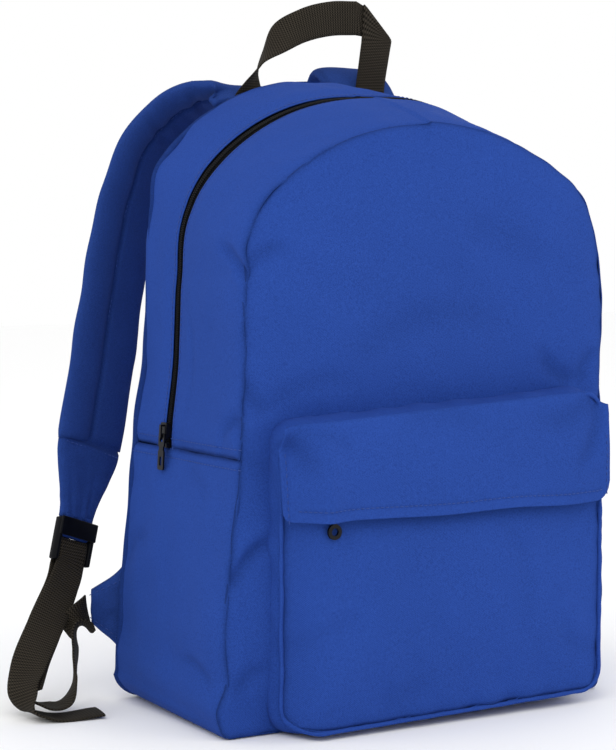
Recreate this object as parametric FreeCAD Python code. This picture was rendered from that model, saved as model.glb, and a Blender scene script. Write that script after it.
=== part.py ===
"""School backpack, modelled as its sewn panels, zippers, padding, straps and hardware.

All sizes are in millimetres. The origin is the centre of the base on the floor, +Z is up,
-Y is the front with the pocket, +Y is the wearer's side, and -X is the zipper's slider side.
"""
import FreeCAD, Part
import math
import os

V = FreeCAD.Vector

# Bag body: an arch-shaped front and a taller arch-shaped back, joined by straight rulings.
DEPTH = 150.0
FRONT_Y = -DEPTH / 2
BACK_Y = DEPTH / 2
FABRIC = 2.0
FRONT_ARCH = {"base": 156.0, "side": 142.0, "spring": 300.0, "corner": 70.0, "apex": 397.0}
BACK_ARCH = {"base": 157.0, "side": 138.0, "spring": 322.0, "corner": 75.0, "apex": 435.0}
SIDE_SEAM_Z = 180.0
TALL = 600.0

# Padding and bindings inside the bag.
BACK_FOAM = 7.0
LINING = 1.0
BINDING_HEIGHT = 10.0
BINDING_THICK = 2.5

# Main zipper, which lies in one plane across the depth.
ZIP_Y = 22.0
ZIP_BAND = 10.0
TAPE_HALF = 14.0
TAPE_THICK = 1.0
COIL_EDGE = 3.0
COIL_GAP = 0.7
COIL_RISE = 0.5
TAPE_END_Z = 168.0
STOP_HEIGHT = 3.0
MAIN_SLIDER_Z = 191.0

# Slider, shared by both zippers: two wings on a post, side rims and a bridge over the puller's pin.
WING_HALF = 4.5
WING_LENGTH = 12.0
WING_CORNER = 2.0
OUTER_WING = (1.0, 2.7)
INNER_WING = (-5.4, -3.8)
POST_HALF = 0.4
POST_ALONG = (1.0, 4.0)
RIM_HALF_LENGTH = 4.0
RIM_START = 3.5
RIM_BOTTOM = -1.2
BRIDGE_HALF_LENGTH = 4.5
BRIDGE_HALF = 1.2
BRIDGE_THICK = 1.0
BRIDGE_LEG = 1.2
BRIDGE_GAP = 0.3
PIN_RADIUS = 0.6
PIN_HEIGHT = 3.5
PIN_DROP = 2.2

# Flat puller of the main zipper: a waisted plate with a throat round its pin and a slot at its end.
PULLER_LENGTH = 24.0
PULLER_HALF = 4.0
PULLER_HEAD = 0.6
PULLER_CORNER = 1.6
THROAT_LENGTH = 5.0
THROAT_HALF = 2.0
SLOT_HALF = 1.4
SLOT_LENGTH = 6.0
SLOT_WEB = 3.0
WAIST_X = -9.5
WAIST_RADIUS = 2.2
WAIST_SIDE = 5.0
PIN_SIDE = 0.8
CUT_REACH = 2.0

# Ring puller of the pocket zipper.
EYE_HALF = 3.4
EYE_WALL = 0.8
EYE_Y = (-1.8, 1.4)
EYE_GAP_Y = (-1.0, 0.95)
EYE_HALF_THICK = 0.6
NECK_HALF = 1.2
NECK_Y = (-1.0, 0.6)
RING_DROP = 17.0
RING_RADIUS = 5.0
RING_HOLE = 2.5
RING_Y = -1.1
RING_THICK = 1.8

# Front pocket.
POCKET_HALF = 124.0
POCKET_Z = (12.0, 212.0)
POCKET_Y = -108.0
POCKET_CORNER = 20.0
POCKET_TAPER = 3.0
POCKET_ZIP_Z = 152.0
POCKET_ZIP_BAND = 10.0
POCKET_ZIP_HALF = 104.0
POCKET_SLIDER_X = -97.0
POCKET_GAP = 0.2
POCKET_STOP = 2.5
POCKET_TAPE_OVERLAP = 4.0
POCKET_COIL_END = 3.0
PIPING = 2.5
FLAP_BOTTOM_Z = 141.0
FLAP_THICK = 2.5
FLAP_HALF = 126.0
FLAP_TOP = (-110.0, 211.0)
FLAP_BOTTOM_Y = -118.5
FLAP_CORNER = 14.0

# Haul loop and shoulder straps.
WEB_WIDTH = 25.0
WEB_THICK = 1.6
LOOP_Y = 76.2
LOOP_THICK = 2.4
LOOP_HINGE_Z = 433.0
LOOP_TOP_Z = 494.0
LOOP_LEFT = -62.0
LOOP_RIGHT = 40.0
LOOP_INNER_CORNER = 5.0
FOOT_Z = (402.0, 430.0)
STRAP_WIDTH = 58.0
STRAP_THICK = 12.0
STRAP_SKIN = 1.5
STRAP_FOAM_WIDTH = 54.0
SEWN_GAP = 0.2
PAD_GAP = 2.0
STRAP_END_WIDTH = 30.0
STRAP_END_THICK = 8.0
LOCK_HALF = 16.5
LOCK_BAR = 3.0
LOCK_PITCH = 10.5
LOCK_DROP = 4.0
LOCK_CORNER = 2.0
WRAP_GAP = 0.3
WRAP_STEPS = 4

# Strap centre lines from the top seam down, each with the direction of the strap's outer edge.
LEFT_STRAP = [
    (V(-50, 83, 421), V(-1.0, 0.0, 0.0)),
    (V(-52, 91, 425), V(-1.0, 0.0, 0.0)),
    (V(-64, 105, 424), V(-0.92, -0.35, 0.12)),
    (V(-80, 117, 416), V(-0.86, -0.42, 0.2)),
    (V(-93, 125, 403), V(-0.82, -0.46, 0.28)),
    (V(-106, 130, 387), V(-0.86, -0.44, 0.2)),
    (V(-117, 134, 353), V(-0.93, -0.35, 0.05)),
    (V(-134, 131, 277), V(-0.95, -0.3, -0.1)),
    (V(-146, 126, 220), V(-0.95, -0.3, -0.1)),
    (V(-155, 121, 178), V(-0.95, -0.3, -0.1)),
]
LEFT_STRAP_END = V(-169, 112, 122)
RIGHT_STRAP = [
    (V(50, 83, 424), V(1.0, 0.0, 0.0)),
    (V(50, 91, 433), V(1.0, 0.0, 0.0)),
    (V(52, 104, 438), V(1.0, 0.0, 0.0)),
    (V(56, 120, 430), V(1.0, 0.0, 0.0)),
    (V(62, 133, 405), V(0.98, -0.1, 0.05)),
    (V(71, 138, 352), V(0.96, -0.2, 0.1)),
    (V(88, 133, 277), V(0.95, -0.25, 0.15)),
    (V(103, 128, 220), V(0.95, -0.25, 0.15)),
    (V(115, 123, 178), V(0.95, -0.25, 0.15)),
]
RIGHT_STRAP_END = V(130, 115, 122)

# Wings: doubled triangles sewn into the lower back corners. The webbing leaves from each tip.
WING_ROOT = (30.0, 92.0)
WING_TIP = V(172, 86, 64)
WING_THICK = 3.0
WING_INSET = 4.0
WING_TIP_HALF = 10.0

# Webbing below each ladder-lock, each point with the direction of the webbing's outer edge.
# The two plies run down side by side, then the loose tail lies on the floor and the other
# ply curls back up to the wing.
PLY_SPLIT = 2.2
LEFT_DOWN = [
    (V(-190, 97, 80), V(-0.87, -0.2, 0.3)),
    (V(-213, 77, 54), V(-0.82, 0.35, 0.28)),
    (V(-233, 58, 31), V(-0.6, 0.75, 0.15)),
    (V(-240, 48, 18), V(-0.3, 0.95, 0.0)),
]
LEFT_TAIL = [
    (V(-239, 43, 8.0), V(-0.1, 1.0, 0.0)),
    (V(-228, 39, 2.6), V(0.1, 1.0, 0.0)),
    (V(-192, 33, 2.4), V(0.15, 1.0, 0.0)),
]
LEFT_RETURN = [
    (V(-236, 46, 12.0), V(-0.1, 1.0, 0.0)),
    (V(-228, 45, 8.2), V(0.0, 1.0, 0.0)),
    (V(-214, 46, 8.5), V(0.15, 0.98, 0.0)),
    (V(-203, 52, 19), V(0.35, 0.9, -0.2)),
    (V(-197, 62, 35), V(0.5, 0.85, -0.2)),
    (V(-190, 74, 51), V(0.5, 0.75, 0.4)),
    (V(-175.5, 87, 63), V(0.2, 0.1, 0.97)),
]
RIGHT_DOWN = [
    (V(150, 110, 82), V(0.92, -0.1, 0.3)),
    (V(170, 113, 56), V(0.85, 0.3, 0.28)),
    (V(196, 114, 32), V(0.65, 0.7, 0.15)),
    (V(208, 106, 18), V(0.3, 0.95, 0.0)),
]
RIGHT_TAIL = [
    (V(213, 106, 8.0), V(0.1, 1.0, 0.0)),
    (V(222, 106, 2.6), V(-0.1, 1.0, 0.0)),
    (V(243, 107, 2.4), V(-0.1, 1.0, 0.0)),
]
RIGHT_RETURN = [
    (V(204, 100, 11.5), V(0.0, 1.0, 0.0)),
    (V(199, 99, 8.4), V(0.0, 1.0, 0.0)),
    (V(191, 96, 12), V(0.0, 1.0, 0.0)),
    (V(189, 90, 28), V(0.0, 1.0, 0.0)),
    (V(188, 85, 46), V(0.1, 1.0, 0.1)),
    (V(185, 85, 59), V(0.5, 0.75, 0.25)),
    (V(178.5, 87, 63), V(0.1, 0.1, 0.97)),
]


def box(low, high):
    """Solid box between two corners."""
    size = high - low
    return Part.makeBox(size.x, size.y, size.z, low)


def upright_edges(solid):
    """The straight edges of a solid that run along z."""
    return [edge for edge in solid.Edges if abs(edge.tangentAt(0).z) > 0.99]


def arch_wire(arch, y, inset):
    """Closed arch in the plane y: flat base, leaning straight sides, corner arcs and a crown arc."""
    base = arch["base"] - inset
    side = arch["side"] - inset
    corner = arch["corner"] - inset
    apex = arch["apex"] - inset
    spring = arch["spring"]
    corner_x = side - corner
    # The crown arc is tangent to both corner arcs: its radius follows from the apex height.
    rise = apex - spring
    crown = (corner_x ** 2 + rise ** 2 - corner ** 2) / (2 * (rise - corner))
    crown_z = apex - crown
    lean = math.atan2(corner_x, spring - crown_z)
    join = V(crown * math.sin(lean), y, crown_z + crown * math.cos(lean))
    mid_angle = (math.pi / 2 + lean) / 2
    mid = V(corner_x + corner * math.sin(mid_angle), y, spring + corner * math.cos(mid_angle))

    def mirrored(point):
        return V(-point.x, point.y, point.z)

    foot = V(base, y, inset)
    shoulder = V(side, y, spring)
    edges = [
        Part.makeLine(mirrored(foot), foot),
        Part.makeLine(foot, shoulder),
        Part.Arc(shoulder, mid, join).toShape(),
        Part.Arc(join, V(0, y, apex), mirrored(join)).toShape(),
        Part.Arc(mirrored(join), mirrored(mid), mirrored(shoulder)).toShape(),
        Part.makeLine(mirrored(shoulder), mirrored(foot)),
    ]
    return Part.Wire(edges)


def bag_form(inset):
    """The bag's outer form, brought in by inset on its base, sides and top."""
    front = arch_wire(FRONT_ARCH, FRONT_Y, inset)
    back = arch_wire(BACK_ARCH, BACK_Y, inset)
    return Part.makeLoft([front, back], True, True)


def slab(y_low, y_high, z_low=0.0, z_high=TALL, x_low=-TALL, x_high=TALL):
    """A wide box that cuts one band out of the bag's form."""
    return box(V(x_low, y_low, z_low), V(x_high, y_high, z_high))


def side_line():
    """Lowest and highest point of the straight stretch of the main zipper's left line."""
    share = (ZIP_Y - FRONT_Y) / DEPTH
    low = V(-(FRONT_ARCH["base"] * (1 - share) + BACK_ARCH["base"] * share), ZIP_Y, 0)
    high = V(
        -(FRONT_ARCH["side"] * (1 - share) + BACK_ARCH["side"] * share),
        ZIP_Y,
        FRONT_ARCH["spring"] * (1 - share) + BACK_ARCH["spring"] * share,
    )
    return low, high


def placed(shape, origin, x_axis, y_axis, z_axis):
    """A shape moved from its own axes to the given origin and axes."""
    matrix = FreeCAD.Matrix(
        x_axis.x, y_axis.x, z_axis.x, origin.x,
        x_axis.y, y_axis.y, z_axis.y, origin.y,
        x_axis.z, y_axis.z, z_axis.z, origin.z,
        0, 0, 0, 1,
    )
    moved = shape.copy()
    moved.Placement = FreeCAD.Placement(matrix)
    return moved


def slider():
    """Zipper slider: travel along x, across the teeth along y, outward along z."""
    half = WING_LENGTH / 2
    wings = []
    for low, high in (OUTER_WING, INNER_WING):
        wing = box(V(-half, -WING_HALF, low), V(half, WING_HALF, high))
        wings.append(wing.makeFillet(WING_CORNER, upright_edges(wing)))
    outer, inner = wings
    post = box(V(POST_ALONG[0], -POST_HALF, INNER_WING[1]), V(POST_ALONG[1], POST_HALF, OUTER_WING[0]))
    parts = [inner, post]
    for sign in (-1, 1):
        near, far = sorted((sign * RIM_START, sign * WING_HALF))
        parts.append(box(V(-RIM_HALF_LENGTH, near, RIM_BOTTOM), V(RIM_HALF_LENGTH, far, OUTER_WING[0])))
    low = PIN_HEIGHT + PIN_RADIUS + BRIDGE_GAP
    reach = BRIDGE_HALF_LENGTH
    parts.append(box(V(-reach, -BRIDGE_HALF, low), V(reach, BRIDGE_HALF, low + BRIDGE_THICK)))
    for start in (-reach, reach - BRIDGE_LEG):
        leg = box(V(start, -BRIDGE_HALF, OUTER_WING[1]), V(start + BRIDGE_LEG, BRIDGE_HALF, low))
        parts.append(leg)
    return outer.multiFuse(parts).removeSplitter()


def flat_puller():
    """Slotted puller on a cross pin. The pin is at the origin and the plate hangs along -x."""
    plate = box(V(-PULLER_LENGTH, -PULLER_HALF, -PIN_RADIUS), V(PULLER_HEAD, PULLER_HALF, PIN_RADIUS))
    free_end = [edge for edge in upright_edges(plate) if edge.CenterOfMass.x < 0]
    plate = plate.makeFillet(PULLER_CORNER, free_end)
    deep = CUT_REACH
    slot_start = -PULLER_LENGTH + SLOT_WEB
    throat = box(V(-THROAT_LENGTH, -THROAT_HALF, -deep), V(deep, THROAT_HALF, deep))
    slot = box(V(slot_start, -SLOT_HALF, -deep), V(slot_start + SLOT_LENGTH, SLOT_HALF, deep))
    plate = plate.cut(throat).cut(slot)
    for side in (-WAIST_SIDE, WAIST_SIDE):
        plate = plate.cut(Part.makeCylinder(WAIST_RADIUS, 2 * deep, V(WAIST_X, side, -deep)))
    pin_half = PULLER_HALF - PIN_SIDE
    pin = Part.makeCylinder(PIN_RADIUS, 2 * pin_half, V(0, -pin_half, 0), V(0, 1, 0))
    return plate.fuse(pin).removeSplitter()


def ring_puller():
    """Ring puller with an eye round the slider's bridge, whose centre is the origin. Down is -z."""
    thick = EYE_HALF_THICK
    inside = EYE_HALF - EYE_WALL
    eye = box(V(-thick, EYE_Y[0], -EYE_HALF), V(thick, EYE_Y[1], EYE_HALF))
    eye = eye.cut(box(V(-CUT_REACH, EYE_GAP_Y[0], -inside), V(CUT_REACH, EYE_GAP_Y[1], inside)))
    neck_low = -RING_DROP + RING_RADIUS - 0.6
    neck = box(V(-NECK_HALF, NECK_Y[0], neck_low), V(NECK_HALF, NECK_Y[1], -EYE_HALF + 0.1))
    toward_bag = V(0, 1, 0)
    ring = Part.makeCylinder(RING_RADIUS, RING_THICK, V(0, RING_Y, -RING_DROP), toward_bag)
    hole = Part.makeCylinder(RING_HOLE, 2 * CUT_REACH, V(0, -CUT_REACH, -RING_DROP), toward_bag)
    return eye.multiFuse([neck, ring]).cut(hole).removeSplitter()


def rounded_rect(x_half, z_low, z_high, y, corner):
    """Closed rounded rectangle in the plane y."""
    turn = corner * (1 - math.sqrt(0.5))
    corners = [(1, z_low, 1), (1, z_high, -1), (-1, z_high, -1), (-1, z_low, 1)]
    arcs = []
    for index, (side, z, inward) in enumerate(corners):
        along = V(side * (x_half - corner), y, z)
        middle = V(side * (x_half - turn), y, z + inward * turn)
        up = V(side * x_half, y, z + inward * corner)
        ends = (along, up) if index % 2 == 0 else (up, along)
        arcs.append((ends[0], middle, ends[1]))
    edges = []
    for index, (start, middle, end) in enumerate(arcs):
        edges.append(Part.Arc(start, middle, end).toShape())
        edges.append(Part.makeLine(end, arcs[(index + 1) % 4][0]))
    return Part.Wire(edges)


def pocket_form(grow):
    """The pocket's outer form, from just in front of the bag to its front face."""
    low = POCKET_Z[0] - grow
    high = POCKET_Z[1] + grow
    half = POCKET_HALF + grow
    corner = POCKET_CORNER + grow
    taper = POCKET_TAPER
    rear = rounded_rect(half, low, high, FRONT_Y - POCKET_GAP, corner)
    front = rounded_rect(half - taper, low + taper, high - taper, POCKET_Y, corner)
    return Part.makeLoft([rear, front], True, True)


def frames(stations):
    """Centre, edge direction and face normal of a ribbon at each of its stations."""
    last = len(stations) - 1
    found = []
    for index, (centre, edge) in enumerate(stations):
        before = stations[max(index - 1, 0)][0]
        after = stations[min(index + 1, last)][0]
        tangent = (after - before).normalize()
        across = (edge - tangent * edge.dot(tangent)).normalize()
        found.append((centre, across, across.cross(tangent)))
    return found


def ribbon(stations, section, shift=0.0):
    """Ruled solid through rectangles, moved along its face normals by shift.

    section(index) is the width and thickness at each station.
    """
    wires = []
    for index, (centre, across, normal) in enumerate(frames(stations)):
        width, thick = section(index)
        a = across * (width / 2)
        low = centre + normal * (shift - thick / 2)
        high = centre + normal * (shift + thick / 2)
        corners = [low - a, low + a, high + a, high - a]
        wires.append(Part.makePolygon(corners + [corners[0]]))
    return Part.makeLoft(wires, True, True)


def shifted(stations, distance):
    """The same ribbon stations, moved along their face normals."""
    return [(centre + normal * distance, across) for centre, across, normal in frames(stations)]


def web_section(index):
    """Width and thickness of the webbing, the same at every station."""
    return WEB_WIDTH, WEB_THICK


def lock_axes(strap, end):
    """Ladder-lock axes: across the strap, up the strap, and away from the wearer's side."""
    last, edge = strap[-1]
    up = (last - end).normalize()
    across = (edge - up * edge.dot(up)).normalize()
    normal = across.cross(up)
    if normal.y < 0:
        normal = normal * -1
    return across, up, normal


def ladder_lock():
    """Frame with three cross bars: width along x, up the strap along y, thickness along z."""
    top = LOCK_PITCH + LOCK_BAR / 2
    frame = box(V(-LOCK_HALF, -top, -LOCK_BAR / 2), V(LOCK_HALF, top, LOCK_BAR / 2))
    frame = frame.makeFillet(LOCK_CORNER, upright_edges(frame))
    inside = LOCK_HALF - LOCK_BAR
    for low in (LOCK_BAR / 2, -LOCK_PITCH + LOCK_BAR / 2):
        high = low + LOCK_PITCH - LOCK_BAR
        frame = frame.cut(box(V(-inside, low, -LOCK_BAR), V(inside, high, LOCK_BAR)))
    return frame


def bar_wrap(across, up, normal, centre, reach):
    """Stations that carry a ribbon up one side of a bar, round it and down the other side."""
    radius = LOCK_BAR / math.sqrt(2) + WRAP_GAP + WEB_THICK / 2
    stations = [(centre + normal * radius - up * reach, across)]
    for step in range(WRAP_STEPS + 1):
        angle = math.pi * step / WRAP_STEPS
        turned = normal * math.cos(angle) + up * math.sin(angle)
        stations.append((centre + turned * radius, across))
    stations.append((centre - normal * radius - up * reach, across))
    return stations


def base_panel():
    """The flat base, as wide as the bag's form is at the base's upper face."""
    corners = []
    for arch, y in ((FRONT_ARCH, FRONT_Y), (BACK_ARCH, BACK_Y)):
        half = arch["base"] - (arch["base"] - arch["side"]) * FABRIC / arch["spring"]
        corners.append((V(-half, y, 0), V(half, y, 0)))
    (front_left, front_right), (back_left, back_right) = corners
    outline = Part.makePolygon([front_left, front_right, back_right, back_left, front_left])
    return Part.Face(outline).extrude(V(0, 0, FABRIC))


def export(shape, node):
    """One STEP file per node."""
    shape.exportStep(f"parts/{node}.step")


def build_bag():
    """Panels, padding, bindings and main zipper of the bag's body."""
    outer = bag_form(0)
    wall = outer.cut(bag_form(FABRIC))
    inside = bag_form(FABRIC)
    front_in = FRONT_Y + FABRIC
    back_in = BACK_Y - FABRIC
    export(base_panel(), "base_panel")
    export(outer.common(slab(FRONT_Y, front_in, FABRIC)), "front_panel")
    export(outer.common(slab(back_in, BACK_Y, FABRIC)), "back_panel")
    export(wall.common(slab(front_in, back_in, FABRIC, SIDE_SEAM_Z, x_high=0)), "side_panel_left")
    export(wall.common(slab(front_in, back_in, FABRIC, SIDE_SEAM_Z, x_low=0)), "side_panel_right")
    half_band = ZIP_BAND / 2
    export(wall.common(slab(front_in, ZIP_Y - half_band, SIDE_SEAM_Z)), "front_gusset")
    export(wall.common(slab(ZIP_Y + half_band, back_in, SIDE_SEAM_Z)), "rear_gusset")

    foam_y = back_in - BACK_FOAM
    lining_y = foam_y - LINING
    export(inside.common(slab(foam_y, back_in)), "back_foam")
    export(inside.common(slab(lining_y, foam_y)), "back_lining")
    hem = inside.cut(bag_form(FABRIC + BINDING_HEIGHT))
    export(hem.common(slab(front_in, front_in + BINDING_THICK, FABRIC)), "front_seam_binding")
    export(hem.common(slab(lining_y - BINDING_THICK, lining_y, FABRIC)), "back_seam_binding")

    tape = inside.cut(bag_form(FABRIC + TAPE_THICK))
    coil = bag_form(-COIL_RISE).cut(inside)
    stop_top = SIDE_SEAM_Z + STOP_HEIGHT
    for side, sign in (("front", -1), ("rear", 1)):
        tape_band = sorted((ZIP_Y + sign * TAPE_HALF, ZIP_Y + sign * COIL_GAP))
        coil_band = sorted((ZIP_Y + sign * COIL_EDGE, ZIP_Y + sign * COIL_GAP))
        export(tape.common(slab(*tape_band, TAPE_END_Z)), f"main_zip_tape_{side}")
        export(coil.common(slab(*coil_band, stop_top)), f"main_zip_coil_{side}")
    stops = coil.common(slab(ZIP_Y - COIL_EDGE, ZIP_Y + COIL_EDGE, SIDE_SEAM_Z, stop_top))
    export(stops, "main_zip_stops")

    low, high = side_line()
    up = (high - low).normalize()
    across = V(0, 1, 0)
    out = up.cross(across).normalize()
    if out.x > 0:
        out = out * -1
        across = across * -1
    centre = low + up * ((MAIN_SLIDER_Z - low.z) / up.z)
    export(placed(slider(), centre, up, across, out), "main_zip_slider")
    pin = centre - up * PIN_DROP + out * PIN_HEIGHT
    export(placed(flat_puller(), pin, up, across, out), "main_zip_puller")


def build_pocket():
    """Front pocket: gusset, two front panels, piping, zipper and rain flap."""
    outer = pocket_form(0)
    inner = pocket_form(-FABRIC)
    face_y = POCKET_Y + FABRIC
    rear_y = FRONT_Y - POCKET_GAP
    export(outer.cut(inner).common(slab(face_y, rear_y)), "pocket_gusset")
    half_band = POCKET_ZIP_BAND / 2
    zip_low = POCKET_ZIP_Z - half_band
    zip_high = POCKET_ZIP_Z + half_band
    face = outer.common(slab(POCKET_Y, face_y))
    ends = POCKET_ZIP_HALF + half_band
    window = slab(POCKET_Y - 1, face_y + 1, zip_low, zip_high, -ends, ends)
    above = face.common(slab(POCKET_Y, face_y, POCKET_ZIP_Z))
    below = face.common(slab(POCKET_Y, face_y, 0, POCKET_ZIP_Z))
    export(above.cut(window), "pocket_front_upper")
    export(below.cut(window), "pocket_front_lower")
    edge_low = POCKET_Y - POCKET_GAP
    edge_high = POCKET_Y + PIPING
    ring = pocket_form(PIPING).cut(outer).common(slab(edge_low, edge_high))
    export(ring, "pocket_piping")

    tape_reach = ends + POCKET_TAPE_OVERLAP
    coil_reach = ends - 1 - POCKET_COIL_END
    tape_y = face_y + TAPE_THICK
    coil_y = POCKET_Y - COIL_RISE
    for side, sign in (("lower", -1), ("upper", 1)):
        tape_band = sorted((POCKET_ZIP_Z + sign * TAPE_HALF, POCKET_ZIP_Z + sign * COIL_GAP))
        coil_band = sorted((POCKET_ZIP_Z + sign * COIL_EDGE, POCKET_ZIP_Z + sign * COIL_GAP))
        export(slab(face_y, tape_y, *tape_band, -tape_reach, tape_reach), f"pocket_zip_tape_{side}")
        export(slab(coil_y, face_y, *coil_band, -coil_reach, coil_reach), f"pocket_zip_coil_{side}")
    stop_low = POCKET_ZIP_Z - COIL_EDGE
    stop_high = POCKET_ZIP_Z + COIL_EDGE
    stops = []
    for start in (-ends + 1, ends - 1 - POCKET_STOP):
        stops.append(slab(coil_y, face_y, stop_low, stop_high, start, start + POCKET_STOP))
    export(Part.makeCompound(stops), "pocket_zip_stops")

    centre = V(POCKET_SLIDER_X, POCKET_Y, POCKET_ZIP_Z)
    body = placed(slider(), centre, V(1, 0, 0), V(0, 0, 1), V(0, -1, 0))
    export(body, "pocket_zip_slider")
    bar = centre - V(0, PIN_HEIGHT + PIN_RADIUS + BRIDGE_GAP + BRIDGE_THICK / 2, 0)
    ring_part = ring_puller()
    ring_part.translate(bar)
    export(ring_part, "pocket_zip_puller")

    top_y, top_z = FLAP_TOP
    profile = [
        V(-FLAP_HALF, top_y, top_z),
        V(-FLAP_HALF, top_y - FLAP_THICK, top_z),
        V(-FLAP_HALF, FLAP_BOTTOM_Y - FLAP_THICK, FLAP_BOTTOM_Z),
        V(-FLAP_HALF, FLAP_BOTTOM_Y, FLAP_BOTTOM_Z),
    ]
    flap = Part.Face(Part.makePolygon(profile + [profile[0]])).extrude(V(2 * FLAP_HALF, 0, 0))
    lowest = [edge for edge in flap.Edges if edge.CenterOfMass.z < FLAP_BOTTOM_Z + 1]
    bottom = [edge for edge in lowest if abs(edge.tangentAt(0).y) > 0.9]
    export(flap.makeFillet(FLAP_CORNER, bottom), "pocket_flap")


def build_haul_loop():
    """Carrying loop: sewn feet on the back panel and an uneven loop of webbing above them."""
    feet = []
    for low_x in (LOOP_LEFT, LOOP_RIGHT):
        low = V(low_x, BACK_Y, FOOT_Z[0])
        high = V(low_x + WEB_WIDTH, LOOP_Y + LOOP_THICK / 2, FOOT_Z[1])
        feet.append(box(low, high))
    export(Part.makeCompound(feet), "haul_loop_feet")

    def at(x, z):
        return V(x, LOOP_Y - LOOP_THICK / 2, z)

    far_right = LOOP_RIGHT + WEB_WIDTH
    far_left_inner = LOOP_LEFT + WEB_WIDTH
    hinge = LOOP_HINGE_Z
    top = LOOP_TOP_Z
    under = top - WEB_WIDTH
    bend = LOOP_INNER_CORNER
    turn = bend * (1 - math.sqrt(0.5))
    edges = [
        Part.makeLine(at(LOOP_LEFT, hinge), at(-45, 468)),
        Part.Arc(at(-45, 468), at(-31, 486), at(-8, top)).toShape(),
        Part.makeLine(at(-8, top), at(48, top)),
        Part.Arc(at(48, top), at(60, 489), at(far_right, 477)).toShape(),
        Part.makeLine(at(far_right, 477), at(far_right, hinge)),
        Part.makeLine(at(far_right, hinge), at(LOOP_RIGHT, hinge)),
        Part.makeLine(at(LOOP_RIGHT, hinge), at(LOOP_RIGHT, under - bend)),
        Part.Arc(
            at(LOOP_RIGHT, under - bend),
            at(LOOP_RIGHT - turn, under - turn),
            at(LOOP_RIGHT - bend, under),
        ).toShape(),
        Part.makeLine(at(LOOP_RIGHT - bend, under), at(-4, under)),
        Part.Arc(at(-4, under), at(-15, 466), at(-22, 458)).toShape(),
        Part.makeLine(at(-22, 458), at(far_left_inner, hinge)),
        Part.makeLine(at(far_left_inner, hinge), at(LOOP_LEFT, hinge)),
    ]
    export(Part.Face(Part.Wire(edges)).extrude(V(0, LOOP_THICK, 0)), "haul_loop")


def build_strap(side, strap, end, down, tail, back_up):
    """Padded strap, tapered end, ladder-lock, webbing, return ply and wing of one side."""
    skin_shift = (STRAP_THICK - STRAP_SKIN) / 2
    foam_thick = STRAP_THICK - 2 * STRAP_SKIN - 2 * SEWN_GAP
    outward = -1 if side == "left" else 1
    for skin, shift in (("cover", outward * skin_shift), ("lining", -outward * skin_shift)):
        layer = ribbon(strap, lambda index: (STRAP_WIDTH, STRAP_SKIN), shift)
        export(layer, f"strap_{skin}_{side}")
    foam = ribbon(strap, lambda index: (STRAP_FOAM_WIDTH, foam_thick))
    export(foam, f"strap_foam_{side}")

    across, up, normal = lock_axes(strap, end)
    start = strap[-1][0] - up * PAD_GAP
    sizes = [(STRAP_WIDTH - PAD_GAP, STRAP_THICK - PAD_GAP), (STRAP_END_WIDTH, STRAP_END_THICK)]
    taper = ribbon([(start, across), (end, across)], lambda index: sizes[index])
    export(taper, f"strap_end_{side}")

    centre = end - up * (LOCK_PITCH + LOCK_BAR + LOCK_DROP)
    export(placed(ladder_lock(), centre, up.cross(normal), up, normal), f"ladder_lock_{side}")
    top_bar = centre + up * LOCK_PITCH
    reach = (end - top_bar).dot(up) - SEWN_GAP
    tab = bar_wrap(across, up * -1, normal, top_bar, reach)
    export(ribbon(tab, web_section), f"ladder_lock_tab_{side}")

    wrap = bar_wrap(across, up, normal, centre, LOCK_PITCH + LOCK_BAR)
    load = shifted(down, PLY_SPLIT if side == "right" else -PLY_SPLIT)
    loose = shifted(down, -PLY_SPLIT if side == "right" else PLY_SPLIT)
    line = list(reversed(load)) + wrap + loose + tail
    export(ribbon(line, web_section), f"webbing_{side}")
    export(ribbon(back_up, web_section), f"webbing_return_{side}")

    sign = -1 if side == "left" else 1
    tip = V(sign * WING_TIP.x, WING_TIP.y, WING_TIP.z)
    root_x = sign * (BACK_ARCH["base"] - WING_INSET)
    corners = [
        V(root_x, BACK_Y + SEWN_GAP, WING_ROOT[0]),
        V(root_x, BACK_Y + SEWN_GAP, WING_ROOT[1]),
        tip + V(0, 0, WING_TIP_HALF),
        tip - V(0, 0, WING_TIP_HALF),
    ]
    face = Part.Face(Part.makePolygon(corners + [corners[0]]))
    export(face.extrude(V(0, WING_THICK, 0)), f"wing_{side}")


def main():
    os.makedirs("parts", exist_ok=True)
    build_bag()
    build_pocket()
    build_haul_loop()
    build_strap("left", LEFT_STRAP, LEFT_STRAP_END, LEFT_DOWN, LEFT_TAIL, LEFT_RETURN)
    build_strap("right", RIGHT_STRAP, RIGHT_STRAP_END, RIGHT_DOWN, RIGHT_TAIL, RIGHT_RETURN)


main()
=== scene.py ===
"""School backpack: the visual model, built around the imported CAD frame.

Shapes are worked out in millimetres and turned into metres when a mesh is made. The origin is the
middle of the base on the floor, +Z is up, -Y is the front with the pocket, +Y is the wearer's side.
"""
import math

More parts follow.
